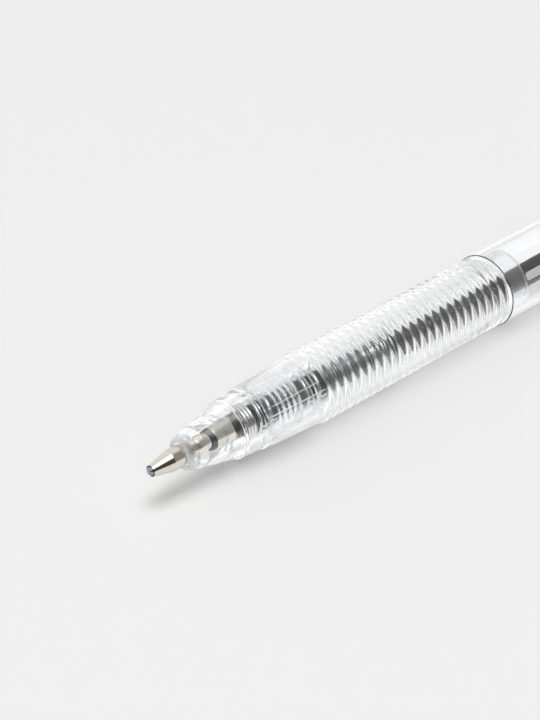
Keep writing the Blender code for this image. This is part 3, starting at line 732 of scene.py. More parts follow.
@dataclass
class Shell:
    """The clear shell: nose cone, grip barrel with its rings, and upper barrel."""

    axis: Axis
    point_hole: float = 0.0014
    nose_face: float = 0.0020
    bead: float = 0.0003
    bead_turn: float = math.radians(75)
    nose_fullness: float = 0.9
    sleeve_fullness: float = 0.63
    cone_length: float = 0.0067
    shoulder: float = 0.0034
    band_step: float = 0.00015
    band_length: float = 0.0031
    band_rear: float = 0.003745
    passage_front: float = 0.00155
    passage_taper: float = 0.0008
    passage: float = 0.001725
    spring_seat: float = 0.0075
    spring_bore: float = 0.002495
    tenon_root: float = 0.003095
    thread_depth: float = 0.00025
    thread_pitch: float = 0.0008
    thread_turns: int = 5
    thread_start: float = 0.0022
    sleeve_front: float = 0.003845
    sleeve_rear: float = 0.00435
    sleeve_length: float = 0.0087
    thread_bore: float = 0.003495
    ring_count: int = 24
    ring_pitch: float = 0.00131
    ring_crest: float = 0.0046
    ring_valley: float = 0.0043
    line_angles: tuple[float, float] = (math.radians(311.7), math.radians(296.0))
    line_height: float = 0.00005
    line_half: float = 0.00008
    last_ring: float = 0.0006
    liner: float = 0.0039
    grip_bore: float = 0.0030
    grip_roughness: float = 0.13
    upper_bore: float = 0.00405
    seam: float = 0.0003
    joint_gap: float = 0.00006
    joint_step: float = 0.0001
    joint_edge: float = 0.00006
    edge: float = 0.00012
    dull_beads: float = 1.5
    ridge_slope: float = 3.0
    end_slope: float = 2.0
    bead_steps: int = 10
    cone_steps: int = 40
    thread_steps: int = 12
    sleeve_steps: int = 24
    ring_steps: int = 14
    line_steps: int = 7
    nose_sides: int = 240
    grip_sides: int = 192
    upper_sides: int = 160

    def build(self) -> None:
        """Build the three clear pieces."""
        self.nose()
        self.grip()
        self.upper()

    def finish(self, name: str, bore: float) -> ShellFinish:
        """The clear finish of a piece with this bore."""
        return replace(CLEAR_SHELL, name=name, axis=(self.axis.y, self.axis.z), bore=bore)

    def nose(self) -> None:
        """Bullet nose with a round front rim, bores, and a tail with a helical thread."""
        place = Extent.of("nose_cone")
        cone_rear = place.front + self.cone_length
        band_rear = cone_rear + self.band_length
        thread_front = band_rear + self.thread_start
        passage = place.front + self.passage_front + self.passage_taper
        turn = np.linspace(0, self.bead_turn, self.bead_steps)
        arc = np.stack([1 - np.cos(turn), np.sin(turn) - 1], axis=1)
        rim = self.bead * arc + (place.front, self.nose_face)
        start, narrow = rim[-1]
        cone = bullet(start, cone_rear, narrow, self.shoulder, self.nose_fullness, self.cone_steps)
        outside = np.concatenate([rim[:-1], cone])
        turns = np.linspace(0, self.thread_turns, self.thread_turns * self.thread_steps + 1)
        thread_x = thread_front + turns * self.thread_pitch
        tail = np.stack([thread_x, np.full_like(thread_x, self.tenon_root)], axis=1)
        band = [
            (cone_rear, self.shoulder + self.band_step),
            (band_rear, self.band_rear),
            (band_rear, self.tenon_root),
        ]
        bore = [
            (place.rear, self.tenon_root),
            (place.rear, self.spring_bore),
            (place.front + self.spring_seat, self.spring_bore),
            (place.front + self.spring_seat, self.passage),
            (passage, self.passage),
            (passage - self.passage_taper, self.point_hole),
            (place.front, self.point_hole),
        ]
        edges = np.repeat([self.edge, 0.0, self.edge], [len(band), len(tail), len(bore)])
        profile = joined(outside, np.concatenate([band, tail, bore]), edges)

        def thread(x: Array, radius: Array, angle: Array) -> tuple[Array, Array]:
            """A helical ridge of triangular section on the tail.

            Args:
                x: Places along the pen.
                radius: Radii without the ridge.
                angle: Angles round the axis.

            Returns:
                The places, and the new radii.
            """
            turns = (x - thread_front) / self.thread_pitch
            off = np.abs((turns - angle / (2 * math.pi)) % 1.0 - HALF)
            ridge = np.clip(1 - self.ridge_slope * off, 0, 1)
            ends = np.clip(np.minimum(turns, self.thread_turns - turns) * self.end_slope, 0, 1)
            on_tail = np.abs(radius - self.tenon_root) < TINY
            return x, radius + self.thread_depth * ridge * ends * on_tail

        piece = turned("clear_nose_cone", self.axis, profile, self.nose_sides, form=thread)
        finish = self.finish("clear_nose_shell", self.spring_bore)
        finish = replace(finish, front=place.front + self.dull_beads * self.bead)
        settle(piece, finish, ("nose_cone",), Body.BARREL)

    def grip(self) -> None:
        """Front sleeve, rings of valley + (crest - valley) * sin^2 up to the joint, and a tenon."""
        place = Extent.of("lower_barrel")
        nose = Extent.of("nose_cone")
        rings_front = place.front + self.sleeve_length
        rings_rear = rings_front + self.ring_count * self.ring_pitch + self.last_ring
        wall = (self.sleeve_front, self.sleeve_rear)
        sleeve = bullet(place.front, rings_front, *wall, self.sleeve_fullness, self.sleeve_steps)
        x = np.linspace(rings_front, rings_rear, self.ring_count * self.ring_steps + 1)
        wave = np.sin(math.pi * (x - rings_front) / self.ring_pitch) ** 2
        crest = np.where(x > rings_rear - self.last_ring, place.radius - self.joint_step, self.ring_crest)
        rings = np.stack([x, self.ring_valley + (crest - self.ring_valley) * wave], axis=1)
        rest = [
            (rings_rear, self.liner),
            (place.rear, self.liner),
            (place.rear, self.grip_bore),
            (nose.rear + self.seam, self.grip_bore),
            (nose.rear + self.seam, self.thread_bore),
            (place.front, self.thread_bore),
        ]
        profile = joined(np.concatenate([sleeve[:-1], rings]), rest, self.edge)

        def moulding_lines(x: Array, radius: Array, angle: Array) -> tuple[Array, Array]:
            """Two fine lines along the sleeve, each height * (1 - (distance / half width)^2).

            Args:
                x: Places along the pen.
                radius: Radii without the lines.
                angle: Angles round the axis.

            Returns:
                The places, and the new radii.
            """
            apart = np.abs(angle[..., None] - np.array(self.line_angles))
            across = np.minimum(apart, 2 * math.pi - apart).min(axis=-1) * radius
            height = self.line_height * np.clip(1 - (across / self.line_half) ** 2, 0, 1)
            ends = np.minimum(x - place.front, rings_front - x) / self.ring_pitch
            outside = radius > self.sleeve_front - self.edge
            return x, radius + height * np.clip(self.end_slope * ends, 0, 1) * outside

        fine = np.linspace(-1, 1, self.line_steps) * self.line_half / self.sleeve_rear
        lines = (np.array(self.line_angles)[:, None] + fine).ravel()
        angles = column_angles(self.grip_sides, lines)
        piece = turned("clear_grip_barrel", self.axis, profile, angles, form=moulding_lines)
        finish = self.finish("clear_grip_shell", self.thread_bore)
        finish = replace(finish, bore_roughness=self.grip_roughness)
        settle(piece, finish, ("lower_barrel",), Body.BARREL)

    def upper(self) -> None:
        """Smooth thin-walled tube of the rear half, which butts against the grip's last ring."""
        place = Extent.of("upper_barrel")
        front = place.front - self.seam + self.joint_gap
        corners = tube_corners(front, place.rear, place.radius, self.upper_bore)
        edges = np.array([self.joint_edge, self.edge, self.edge, self.joint_edge])
        piece = turned("clear_upper_barrel", self.axis, rounded(corners, edges), self.upper_sides)
        finish = self.finish("clear_upper_shell", self.upper_bore)
        settle(piece, finish, ("upper_barrel",), Body.BARREL)


@dataclass
class Refill:
    """The writing point, its holder, the tube and what the tube is filled with."""

    axis: Axis
    droop: float = 0.0010
    lip: float = 0.00066
    wet_length: float = 0.00006
    cone_length: float = 0.0027
    barrel_length: float = 0.00205
    neck_taper: float = 0.0009
    neck: float = 0.0011
    shank: float = 0.00075
    point_length: float = 0.0081
    channel: float = 0.0003
    holder_mouth: float = 0.00115
    holder_setback: float = 0.0003
    holder_taper: float = 0.0003
    holder_length: float = 0.0032
    holder_shank: float = 0.000865
    tube_radius: float = 0.001575
    tube_bore: float = 0.000875
    collar_length: float = 0.0015
    collar_front: float = 0.0246
    wetting: float = 0.00001
    strip_front: float = 0.0503
    strip_length: float = 0.0240
    strip_angle: float = math.radians(299.5)
    strip_half: float = math.radians(20.5)
    strip_film: float = 0.00002
    ball_gap: float = 0.00005
    point_edge: float = 0.00003
    edge: float = 0.00008
    ball_steps: int = 33
    seat_steps: int = 24
    strip_steps: int = 120
    ball_sides: int = 64
    metal_sides: int = 96
    tube_sides: int = 64
    filling_sides: int = 48
    strip_sides: int = 32

    def sag(self, x: Array) -> Array:
        """How far the slack refill hangs: droop * sin^2, from its holder to the rotor.

        Args:
            x: Places along the pen.

        Returns:
            Distances down from the axis.
        """
        front = Extent.of("point_holder").front
        rear = Extent.of("index_rotor").front
        share = np.clip((x - front) / (rear - front), 0, 1)
        return self.droop * np.sin(math.pi * share) ** 2

    def build(self) -> None:
        """Build every piece of the refill."""
        self.ball()
        self.point()
        self.holder()
        self.tube()
        self.filling()
        self.strip()

    def ball(self) -> None:
        """The ball: x = -R cos(angle), radius = R sin(angle)."""
        place = Extent.of("writing_ball")
        radius = place.length / 2
        angle = np.linspace(0, math.pi, self.ball_steps)
        profile = np.stack([place.front + radius * (1 - np.cos(angle)), radius * np.sin(angle)], axis=1)
        piece = turned("writing_ball_carbide", self.axis, profile, self.ball_sides, ring=False)
        settle(piece, BALL_CARBIDE, ("writing_ball",), Body.BALL)

    def point(self) -> None:
        """Cone with a lip round the ball, a barrel, a slimmer neck and a shank, with a round seat."""
        place = Extent.of("refill_point")
        ball = Extent.of("writing_ball")
        centre = (ball.front + ball.rear) / 2
        cup = ball.length / 2 + self.ball_gap
        barrel_front = place.front + self.cone_length
        barrel_rear = barrel_front + self.barrel_length
        rear = place.front + self.point_length
        mouth = math.acos((centre - place.front) / cup)
        angle = np.linspace(math.pi - math.asin(self.channel / cup), mouth, self.seat_steps)
        seat = np.stack([centre - cup * np.cos(angle), cup * np.sin(angle)], axis=1)
        corners = [
            (place.front, self.lip),
            (barrel_front, place.radius),
            (barrel_rear, place.radius),
            (barrel_rear + self.neck_taper, self.neck),
            (rear, self.neck),
            (rear, self.shank),
            (place.rear, self.shank),
            (place.rear, self.channel),
        ]
        profile = joined(seat, corners, self.point_edge)
        piece = turned("metal_writing_point", self.axis, profile, self.metal_sides)
        finish = replace(POINT_METAL, ink_and_shade_end=place.front + self.wet_length)
        settle(piece, finish, ("refill_point",), Body.REFILL)

    def holder(self) -> None:
        """Wider metal sleeve behind the point, with painted shade on its front taper, and a shank in the
        tube.
        """
        place = Extent.of("point_holder")
        front = place.front + self.holder_setback
        rear = place.front + self.holder_length
        corners = [
            (front, self.holder_mouth),
            (front + self.holder_taper, place.radius),
            (rear, place.radius),
            (rear, self.holder_shank),
            (place.rear, self.holder_shank),
            (place.rear, self.shank),
            (front, self.shank + self.edge),
        ]
        piece = turned("metal_point_holder", self.axis, rounded(corners, self.edge), self.metal_sides)
        # Painted shade over the front taper, where the holder sits in shadow in the nose's passage.
        finish = replace(HOLDER_METAL, ink_and_shade_end=front + self.holder_taper)
        settle(piece, finish, ("point_holder",), Body.REFILL)

    def tube(self) -> None:
        """Slack plastic tube with a collar for the spring."""
        place = Extent.of("refill_tube")
        collar = place.front + self.collar_front
        corners = [
            (place.front, self.tube_radius),
            (collar, self.tube_radius),
            (collar, place.radius),
            (collar + self.collar_length, place.radius),
            (collar + self.collar_length, self.tube_radius),
            (place.rear, self.tube_radius),
            (place.rear, self.tube_bore),
            (place.front, self.tube_bore),
        ]
        profile = densified(rounded(corners, self.edge), self.collar_length)
        piece = turned("plastic_refill_tube", self.axis, profile, self.tube_sides, sag=self.sag)
        settle(piece, CLEAR_TUBE, ("refill_tube",), Body.REFILL)

    def filling(self) -> None:
        """Ink that wets the tube's bore and the holder's shank in it, and the grease plug behind it."""
        fill = self.tube_bore + self.wetting
        tube_front = Extent.of("refill_tube").front + self.edge
        for name, node, finish, slot, front in (
            ("black_ink_column", "ink_column", BLACK_INK, "black_ink", tube_front),
            ("grease_follower", "ink_follower", CLEAR_GREASE, "follower_grease", None),
        ):
            place = Extent.of(node)
            front = place.front if front is None else front
            corners = [(front, 0.0), (front, fill), (place.rear, fill), (place.rear, 0.0)]
            profile = densified(rounded(corners, self.edge, ring=False), self.collar_length)
            piece = turned(name, self.axis, profile, self.filling_sides, ring=False, sag=self.sag)
            settle(piece, finish, (node,), Body.REFILL)

    def strip(self) -> None:
        """A plain pale strip along the tube: angle = middle + half(x) cos(v), radius = tube + film sin(v).

        half(x) is strip_half with a round end: it grows as sqrt(1 - (1 - d)^2) over one strip_half.
        """
        front = Extent.of("refill_tube").front + self.strip_front
        share = (1 - np.cos(np.linspace(0, math.pi, self.strip_steps))) / 2
        x = front + self.strip_length * share[:, None]
        from_end = np.minimum(share, 1 - share)[:, None] * self.strip_length
        near = np.clip(from_end / (self.strip_half * self.tube_radius), 0, 1)
        half = self.strip_half * np.sqrt(1 - (1 - near) ** 2)
        around = even_angles(self.strip_sides)[None, :]
        angle = self.strip_angle + half * np.cos(around)
        radius = self.tube_radius + self.strip_film * np.sin(around)
        points = self.axis.around(x, radius, angle)
        points[..., 2] -= self.sag(points[..., 0])
        piece = closed_mesh("pale_refill_strip", points, ring=False)
        settle(piece, PALE_STRIP, (), Body.REFILL)


@dataclass
class ReturnSpring:
    """The return spring: close turns at both ends and open turns between."""

    axis: Axis
    refill: Refill
    wire: float = 0.0004
    radius: float = 0.001995
    close_pitch: float = 0.00045
    close_turns: float = 3.5
    open_turns: float = 11.0
    early_opening: float = 0.5
    steps_per_turn: int = 40
    wire_sides: int = 12

    def build(self) -> None:
        """Sweep a round wire along a helix whose pitch opens in the middle."""
        place = Extent.of("return_spring")
        turns = 2 * self.close_turns + self.open_turns
        at_turn = np.linspace(0, turns, int(turns * self.steps_per_turn))
        from_end = np.minimum(at_turn, turns - at_turn)
        opening = np.clip(from_end - self.close_turns + self.early_opening, 0, 1)
        rise = np.concatenate([[0], np.cumsum((opening[1:] + opening[:-1]) / 2)])
        free = place.length - self.wire - self.close_pitch * turns
        x = place.front + self.wire / 2 + self.close_pitch * at_turn + free * rise / rise[-1]
        angle = 2 * math.pi * at_turn
        centre = self.axis.around(x, np.full_like(x, self.radius), angle)
        tangent = np.gradient(centre, axis=0)
        tangent /= np.linalg.norm(tangent, axis=1)[:, None]
        outward = np.stack([np.zeros_like(x), np.sin(angle), np.cos(angle)], axis=1)
        sideways = np.cross(tangent, outward)
        round_wire = even_angles(self.wire_sides)[None, :, None]
        circle = np.cos(round_wire) * outward[:, None] + np.sin(round_wire) * sideways[:, None]
        tube = centre[:, None] + self.wire / 2 * circle
        ends = [np.repeat(centre[k][None, None], self.wire_sides, axis=1) for k in (0, -1)]
        points = np.concatenate([ends[0], tube, ends[1]])
        points[..., 2] -= self.refill.sag(points[..., 0])
        piece = closed_mesh("steel_return_spring", points, ring=False)
        settle(piece, SPRING_WIRE, ("return_spring",))
        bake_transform(piece)


@dataclass(frozen=True)
class Blades:
    """Blades that stand evenly round the axis: fins, lugs or inward ribs."""

    angle: float
    width: float
    root: float
    tip: float
    front: float
    rear: float
    count: int = 4
    bevel: float = 0.00005

    @property
    def middle(self) -> float:
        """Radius halfway up a blade."""
        return (self.root + self.tip) / 2

    @property
    def half(self) -> float:
        """Half the angle that a blade fills."""
        return math.asin(self.width / 2 / self.middle)

    @property
    def rows(self) -> list[tuple[float, float]]:
        """Profile points at the ends of the blades and of their bevels, on the root's radius."""
        places = (self.front, self.front + self.bevel, self.rear - self.bevel, self.rear)
        return [(x, self.root) for x in places]

    def columns(self, sides: int) -> Array:
        """Angles round the axis, with columns at both flanks of each blade.

        Args:
            sides: Number of even columns besides those.

        Returns:
            The angles in order.
        """
        slope = self.bevel / self.middle
        flanks = np.array([-self.half - slope, slope - self.half, self.half - slope, self.half + slope])
        middles = self.angle + even_angles(self.count)
        return column_angles(sides, (middles[:, None] + flanks).ravel())

    def raised(self, x: Array, radius: Array, angle: Array) -> Array:
        """Radius that steps from root to tip within a blade, over its bevels.

        Args:
            x: Places along the axis.
            radius: Radii without the blades.
            angle: Angles round the axis.

        Returns:
            The new radii.
        """
        step = 2 * math.pi / self.count
        slope = self.bevel / self.middle
        offset = np.abs((angle - self.angle + step / 2) % step - step / 2)
        across = np.clip((self.half + slope - offset) / (2 * slope), 0, 1)
        along = np.clip(np.minimum(x - self.front, self.rear - x) / self.bevel, 0, 1)
        stands = np.abs(radius - self.root) < TINY
        return radius + (self.tip - self.root) * across * along * stands


@dataclass(frozen=True)
class Crown:
    """Crown teeth: V notches across the end face of a round piece."""

    face: float
    into: float
    inner: float
    depth: float = 0.0008
    count: int = 8
    reach: float = 0.0003

    def cut(self, x: Array, radius: Array, angle: Array) -> Array:
        """Places along the axis, moved into the piece by depth - radius * |sin(angle from a notch)|.

        Args:
            x: Places along the axis before the notches.
            radius: Radii.
            angle: Angles round the axis.

        Returns:
            The new places.
        """
        step = 2 * math.pi / self.count
        offset = (angle + step / 2) % step - step / 2
        notch = np.clip(self.depth - radius * np.abs(np.sin(offset)), 0, None)
        near = (np.abs(x - self.face) < self.reach) & (radius > self.inner)
        return x + self.into * notch * near


@dataclass
class Mechanism:
    """The indexing mechanism: ribbed cam guide, finned rotor and toothed thrust rod."""

    axis: Axis
    body: float = 0.002295
    tip: float = 0.0030
    socket: float = 0.001725
    socket_length: float = 0.0038
    chamfer: float = 0.0003
    fin_length: float = 0.0030
    fin_width: float = 0.0006
    pin: float = 0.0008
    pin_length: float = 0.0032
    pin_hole: float = 0.0011
    tooth_root: float = 0.00125
    lug_setback: float = 0.0037
    lug_length: float = 0.0030
    lug_width: float = 0.0009
    lug_angle: float = math.radians(57.66)
    stem: float = 0.0014
    stem_length: float = 0.0116
    guide_bore: float = 0.00315
    rib_tip: float = 0.002595
    rib_width: float = 0.00076
    rib_angle: float = math.radians(12.66)
    rib_front: float = 0.0035
    rib_inset: float = 0.00015
    play: float = 0.0003
    edge: float = 0.00008
    face_steps: int = 5
    sides: int = 128
    guide_sides: int = 96

    def build(self) -> None:
        """Build the three pieces."""
        self.rotor()
        self.rod()
        self.guide()

    def face(self, x: float, first: float, last: float) -> Corners:
        """Points across an end face, from one radius to another."""
        return [(x, radius) for radius in np.linspace(first, last, self.face_steps)]

    def soft(self, corners: Corners, blades: Blades, ring: bool) -> Array:
        """Profile with rounded corners, except on the rows of the blades.

        Args:
            corners: The profile's corners.
            blades: The blades that stand on it.
            ring: Whether the last corner joins the first.

        Returns:
            The rounded profile.
        """
        points = np.array(corners)
        radii = np.where((points[:, None] == np.array(blades.rows)).all(axis=2).any(axis=1), 0.0, self.edge)
        return rounded(points, radii, ring=ring)

    def rotor(self) -> None:
        """Socket for the refill, four fins, crown teeth and a pin in the rod."""
        place = Extent.of("index_rotor")
        rear = place.rear - self.pin_length
        shoulder = place.front + self.socket_length
        fins = Blades(0.0, self.fin_width, self.body, self.tip, shoulder, shoulder + self.fin_length)
        crown = Crown(rear, -1.0, self.pin_hole)
        corners = [
            (shoulder, 0.0),
            (shoulder, self.socket),
            (place.front, self.socket),
            (place.front, self.body - self.chamfer),
            (place.front + self.chamfer, self.body),
            *fins.rows,
            *self.face(rear, self.body, self.pin_hole + self.edge),
            (rear, self.pin_hole),
            (rear, self.pin),
            (place.rear, self.pin),
            (place.rear, 0.0),
        ]

        def finned(x: Array, radius: Array, angle: Array) -> tuple[Array, Array]:
            """Fins on the body and notches between the crown teeth."""
            return crown.cut(x, radius, angle), fins.raised(x, radius, angle)

        profile = self.soft(corners, fins, ring=False)
        angles = fins.columns(self.sides)
        piece = turned("finned_rotor", self.axis, profile, angles, ring=False, form=finned)
        settle(piece, WHITE_SLIDE, ("index_rotor",), Body.ROTOR)

    def rod(self) -> None:
        """Crown teeth round a hole for the rotor's pin, four lugs, and a stem for the button."""
        place = Extent.of("thrust_rod")
        hole = Extent.of("index_rotor").rear + self.play
        shoulder = place.rear - self.stem_length
        lug = place.front + self.lug_setback
        lugs = Blades(self.lug_angle, self.lug_width, self.body, self.tip, lug, lug + self.lug_length)
        crown = Crown(place.front, 1.0, self.tooth_root)
        corners = [
            (hole, 0.0),
            (hole, self.pin_hole),
            (place.front, self.pin_hole),
            (place.front, self.tooth_root),
            *self.face(place.front, self.tooth_root + self.edge, self.body),
            *lugs.rows,
            (shoulder, self.body),
            (shoulder, self.stem),
            (place.rear, self.stem),
            (place.rear, 0.0),
        ]

        def toothed(x: Array, radius: Array, angle: Array) -> tuple[Array, Array]:
            """Lugs on the body and notches between the crown teeth."""
            return crown.cut(x, radius, angle), lugs.raised(x, radius, angle)

        profile = self.soft(corners, lugs, ring=False)
        angles = lugs.columns(self.sides)
        piece = turned("toothed_rod", self.axis, profile, angles, ring=False, form=toothed)
        settle(piece, BLACK_SLIDE, ("thrust_rod",), Body.BUTTON)

    def guide(self) -> None:
        """Sleeve with four ribs along its bore."""
        place = Extent.of("cam_guide")
        front = place.front + self.rib_front
        rear = place.rear - self.rib_inset
        ribs = Blades(self.rib_angle, self.rib_width, self.guide_bore, self.rib_tip, front, rear)
        corners = [
            (place.front, place.radius),
            (place.rear, place.radius),
            (place.rear, self.guide_bore),
            *reversed(ribs.rows),
            (place.front, self.guide_bore),
        ]

        def ribbed(x: Array, radius: Array, angle: Array) -> tuple[Array, Array]:
            """Ribs on the bore."""
            return x, ribs.raised(x, radius, angle)

        profile = self.soft(corners, ribs, ring=True)
        piece = turned("ribbed_guide", self.axis, profile, ribs.columns(self.guide_sides), form=ribbed)
        settle(piece, WHITE_SLIDE, ("cam_guide",), Body.BARREL)


@dataclass
class RearEnd:
    """What closes the pen at the rear: the button, the collar it slides in, and the clip."""

    axis: Axis
    button_socket: float = 0.00155
    button_edge: float = 0.0006
    spigot_length: float = 0.0056
    spigot: float = 0.0039
    collar_bore: float = 0.00275
    collar_taper: float = 0.0006
    collar_edge: float = 0.0005
    clip_angle: float = math.radians(112.12)
    clip_outer: float = 0.0075
    clip_thickness: float = 0.0012
    clip_half: float = 0.0021
    clip_tip_half: float = 0.0017
    clip_corner: float = 0.0005
    clip_bump: float = 0.0051
    clip_bump_length: float = 0.0050
    clip_bump_flat: float = 0.0010
    clip_round: float = 0.0002
    ring_bore: float = 0.00405
    ring_radius: float = 0.0046
    ring_width: float = 0.0010
    seam: float = 0.0003
    edge: float = 0.00012
    bend_corners: int = 2
    straight_corners: int = 6
    button_steps: int = 12
    collar_steps: int = 10
    arm_steps: int = 8
    button_sides: int = 96

    def build(self) -> None:
        """Build the button, the collar and the clip."""
        self.button()
        self.collar()
        self.clip_ring()
        self.clip_arm()

    def button(self) -> None:
        """Cap with a flat top and a round edge, hollow for the rod's stem."""
        place = Extent.of("push_button")
        hollow = Extent.of("thrust_rod").rear + self.seam
        corners = [
            (hollow, 0.0),
            (hollow, self.button_socket),
            (place.front, self.button_socket),
            (place.front, place.radius),
            (place.rear, place.radius),
            (place.rear, 0.0),
        ]
        radii = np.array([0.0, self.edge, self.edge, self.edge, self.button_edge, 0.0])
        profile = rounded(corners, radii, self.button_steps, ring=False)
        piece = turned("button_cap", self.axis, profile, self.button_sides, ring=False)
        settle(piece, BLACK_GLOSS, ("push_button",), Body.BUTTON)

    def collar(self) -> None:
        """Tapered collar with a round rear edge, and a spigot in the barrel."""
        place = Extent.of("end_collar")
        front = place.front + self.spigot_length
        corners = [
            (front, place.radius),
            (place.rear, place.radius - self.collar_taper),
            (place.rear, self.collar_bore),
            (place.front, self.collar_bore),
            (place.front, self.spigot),
            (front, self.spigot),
        ]
        radii = np.array([self.edge, self.collar_edge, self.edge, self.edge, self.edge, 0.0])
        piece = turned("rear_collar", self.axis, rounded(corners, radii, self.collar_steps))
        settle(piece, BLACK_GLOSS, ("end_collar",), Body.BARREL)

    def clip_ring(self) -> None:
        """Ring that holds the clip between the barrel and the collar."""
        rear = Extent.of("pocket_clip").rear
        corners = tube_corners(rear - self.ring_width, rear, self.ring_radius, self.ring_bore)
        piece = turned("clip_ring", self.axis, rounded(corners, self.edge))
        settle(piece, BLACK_GLOSS, ("pocket_clip",), Body.CLIP)

    def clip_arm(self) -> None:
        """Bent arm: a rounded rectangle carried between an outer and an inner path, with a bump at its tip.

        Each station gives the outer path's x and height, the inner path's x and height, and half the width.
        """
        place = Extent.of("pocket_clip")
        rear, front, tip = place.rear, place.rear - self.ring_width, place.front
        top, half, corner = self.clip_outer, self.clip_half, self.clip_corner
        under = top - self.clip_thickness
        neck = (self.ring_bore + self.ring_radius) / 2
        slope = (self.clip_bump_length - self.clip_bump_flat) / 2
        bump = tip + slope + self.clip_bump_flat
        bump_rear = tip + self.clip_bump_length
        bend = self.bend_corners * corner
        straight = rear - self.straight_corners * corner
        stations = np.array(
            [
                (rear, neck, front, neck, half),
                (rear, (neck + under) / 2, front, (neck + under) / 2 - corner, half),
                (rear, top, front, under, half),
                (rear - bend, top, front - bend, under, half),
                (straight, top, straight, under, half),
                (bump_rear + slope, top, bump_rear + slope, under, half),
                (bump_rear, top, bump_rear, under, half),
                (bump, top, bump, self.clip_bump, half),
                (tip + slope, top, tip + slope, self.clip_bump, half),
                (tip + corner, top, tip + corner, under, (half + self.clip_tip_half) / 2),
                (tip, top, tip, under, self.clip_tip_half),
                (tip, top - corner, tip, under, self.clip_tip_half),
            ]
        )
        path = flowing(stations, self.arm_steps)
        outer, inner, wide = path[:, None, 0:2], path[:, None, 2:4], path[:, 4:5]
        tall = np.linalg.norm(outer - inner, axis=-1, keepdims=True)
        across, up = rounded_rectangle(wide, tall[..., 0] / 2, self.clip_round)
        flat = (outer + inner) / 2 + up[..., None] * (outer - inner) / tall
        points = self.axis.around(flat[..., 0], flat[..., 1], self.clip_angle)
        points[..., 1] += across * math.cos(self.clip_angle)
        points[..., 2] -= across * math.sin(self.clip_angle)
        points = np.concatenate([points[:1], points, points[-1:]])
        piece = closed_mesh("clip_arm", points, ring=False)
        settle(piece, BLACK_GLOSS, ("pocket_clip",), Body.CLIP)


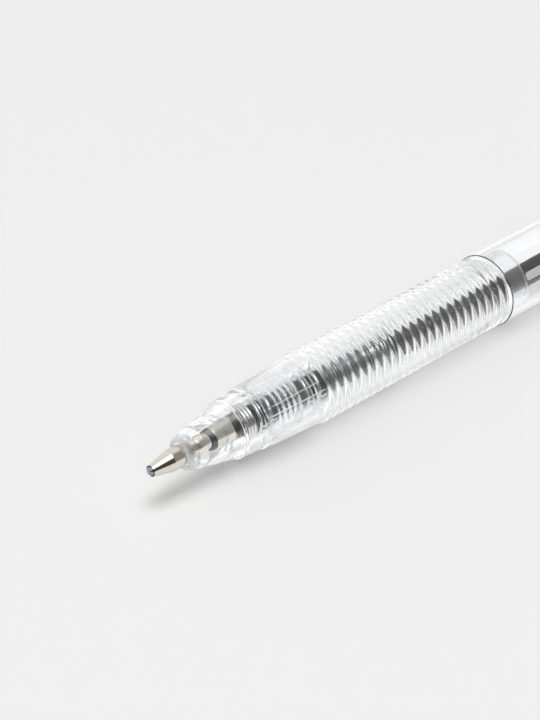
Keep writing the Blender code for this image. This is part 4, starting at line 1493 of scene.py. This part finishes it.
@dataclass
class Studio:
    """Pale floor, soft light and the photograph's camera."""

    camera_place: tuple[float, float, float] = (-0.17615, -0.1306, 0.1262)
    camera_aim: tuple[float, float, float] = (0.5840, 0.6059, -0.5402)
    lens: float = 95.0
    floor_half: float = 3.0
    key_place: tuple[float, float, float] = (-0.05, -0.10, 2.00)
    key_power: float = 21.0
    front_place: tuple[float, float, float] = (-0.9, -1.0, 0.85)
    front_power: float = 4.0
    light_size: float = 1.1
    floor_glow: float = 0.18
    floor_glow_inside: float = 0.44
    panel: tuple[float, float, float] = (-0.05, -0.27, 0.961)
    panel_edge: tuple[float, float] = (0.93, 0.97)
    panel_level: float = 4.0
    sky: float = 0.87
    fill: float = 0.35
    wall_edge: tuple[float, float, float] = (0.0, 0.665, 0.747)
    wall_slope: float = 1.18
    wall_blur: float = 0.1
    wall_tint: tuple[float, float, float] = (1.0, 0.985, 0.95)
    wall_fade: tuple[float, float] = (0.15, 0.70)
    wall_levels: tuple[float, float] = (0.06, 0.38)
    shell_walls: float = 4.0
    bounces: int = 32
    glossy_bounces: int = 16
    nearest: float = 0.01

    def build(self) -> None:
        """Build the floor, the lights, the surroundings and the camera."""
        self.floor()
        self.lights()
        self.surroundings()
        self.camera()
        scene = bpy.context.scene
        scene.view_settings.view_transform = "Standard"
        scene.cycles.max_bounces = self.bounces
        scene.cycles.transmission_bounces = self.bounces
        scene.cycles.glossy_bounces = self.glossy_bounces
        scene.cycles.transparent_max_bounces = self.bounces

    def floor(self) -> None:
        """A flat square under the pen, with a weak glow that is stronger through clear plastic."""
        h = self.floor_half
        mesh = bpy.data.meshes.new("floor")
        mesh.from_pydata([(-h, -h, 0), (h, -h, 0), (h, h, 0), (-h, h, 0)], [], [(0, 1, 2, 3)])
        floor = linked("floor", mesh)
        material = PALE_FLOOR.material()
        shader = material.node_tree.nodes["Principled BSDF"]
        nodes = Nodes(material.node_tree)
        through = nodes.add("ShaderNodeLightPath").outputs["Is Transmission Ray"]
        glow = nodes.ramp(through, (0.0, 1.0), (self.floor_glow, self.floor_glow_inside))
        shader.inputs["Emission Color"].default_value = WHITE
        nodes.feed(shader.inputs["Emission Strength"], glow)
        mesh.materials.append(material)

    def lights(self) -> None:
        """A soft light above the pen and a weak one from the camera's side, both without reflections."""
        for name, place, power in (
            ("key_light", self.key_place, self.key_power),
            ("front_light", self.front_place, self.front_power),
        ):
            lamp = bpy.data.lights.new(name, "AREA")
            lamp.size = self.light_size
            lamp.energy = power
            light = linked(name, lamp)
            light.visible_glossy = False
            light.visible_transmission = False
            light.location = place
            light.rotation_euler = Vector(place).to_track_quat("Z", "Y").to_euler()

    def surroundings(self) -> None:
        """Even sky with a bright panel, over a dark wall on the camera's side.

        The wall rises and brightens towards the pen's rear. Shiny surfaces see it. The camera sees plain
        sky in its place, and so does a ray through clear plastic, unless it has crossed the shell's four
        walls or a multiple of them, as rays from inner pieces have. The floor gets a dimmed sky without
        the panel, so that the light makes its shadow.
        """
        world = bpy.data.worlds.new("studio")
        bpy.context.scene.world = world
        world.use_nodes = True
        nodes = Nodes(world.node_tree)
        towards = nodes.add("ShaderNodeTexCoord").outputs["Generated"]
        along = nodes.add("ShaderNodeSeparateXYZ", Vector=towards).outputs["X"]
        wall = nodes.ramp(along, self.wall_fade, self.wall_levels)
        rise = nodes.math("MULTIPLY", nodes.math("MAXIMUM", along, 0.0), self.wall_slope)
        height = nodes.math("SUBTRACT", nodes.dot(towards, self.wall_edge), rise)
        share = nodes.ramp(height, (-self.wall_blur, self.wall_blur), (0.0, 1.0))
        path = nodes.add("ShaderNodeLightPath").outputs
        walls = nodes.math("MODULO", path["Transmission Depth"], self.shell_walls)
        clear = nodes.math("GREATER_THAN", walls, HALF)
        through = nodes.math("MULTIPLY", path["Is Transmission Ray"], clear)
        plain = nodes.math("MAXIMUM", through, path["Is Camera Ray"])
        share = nodes.math("MAXIMUM", share, plain)
        level = nodes.mix(share, wall, self.sky, "FLOAT")
        tint = nodes.mix(share, (*self.wall_tint, 1.0), WHITE)
        panel = nodes.ramp(nodes.dot(towards, self.panel), self.panel_edge, (0.0, self.panel_level))
        lit = nodes.math("ADD", level, panel)
        dim = nodes.math("MULTIPLY", level, self.fill)
        either = nodes.math("ADD", path["Is Glossy Ray"], path["Is Transmission Ray"])
        either = nodes.math("ADD", either, path["Is Camera Ray"])
        direct = nodes.math("LESS_THAN", path["Diffuse Depth"], HALF)
        seen = nodes.math("MULTIPLY", nodes.math("MINIMUM", either, 1.0), direct)
        background = world.node_tree.nodes["Background"]
        nodes.feed(background.inputs["Strength"], nodes.ramp(seen, (0.0, 1.0), (dim, lit)))
        nodes.feed(background.inputs["Color"], tint)

    def camera(self) -> None:
        """The photograph's camera, level across, looking down along the pen."""
        lens = bpy.data.cameras.new("camera")
        lens.lens = self.lens
        lens.clip_start = self.nearest
        camera = linked("camera", lens)
        camera.location = self.camera_place
        camera.rotation_euler = Vector(self.camera_aim).to_track_quat("-Z", "Y").to_euler()
        bpy.context.scene.camera = camera


def main() -> None:
    """Load the frame and dress the pen in order, from its shell to the studio."""
    logging.basicConfig(level=logging.INFO)
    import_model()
    low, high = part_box("refill_point")
    axis = Axis((low.y + high.y) / 2, (low.z + high.z) / 2)
    refill = Refill(axis)
    Shell(axis).build()
    refill.build()
    ReturnSpring(axis, refill).build()
    Mechanism(axis).build()
    RearEnd(axis).build()
    Studio().build()


if __name__ == "__main__":
    main()
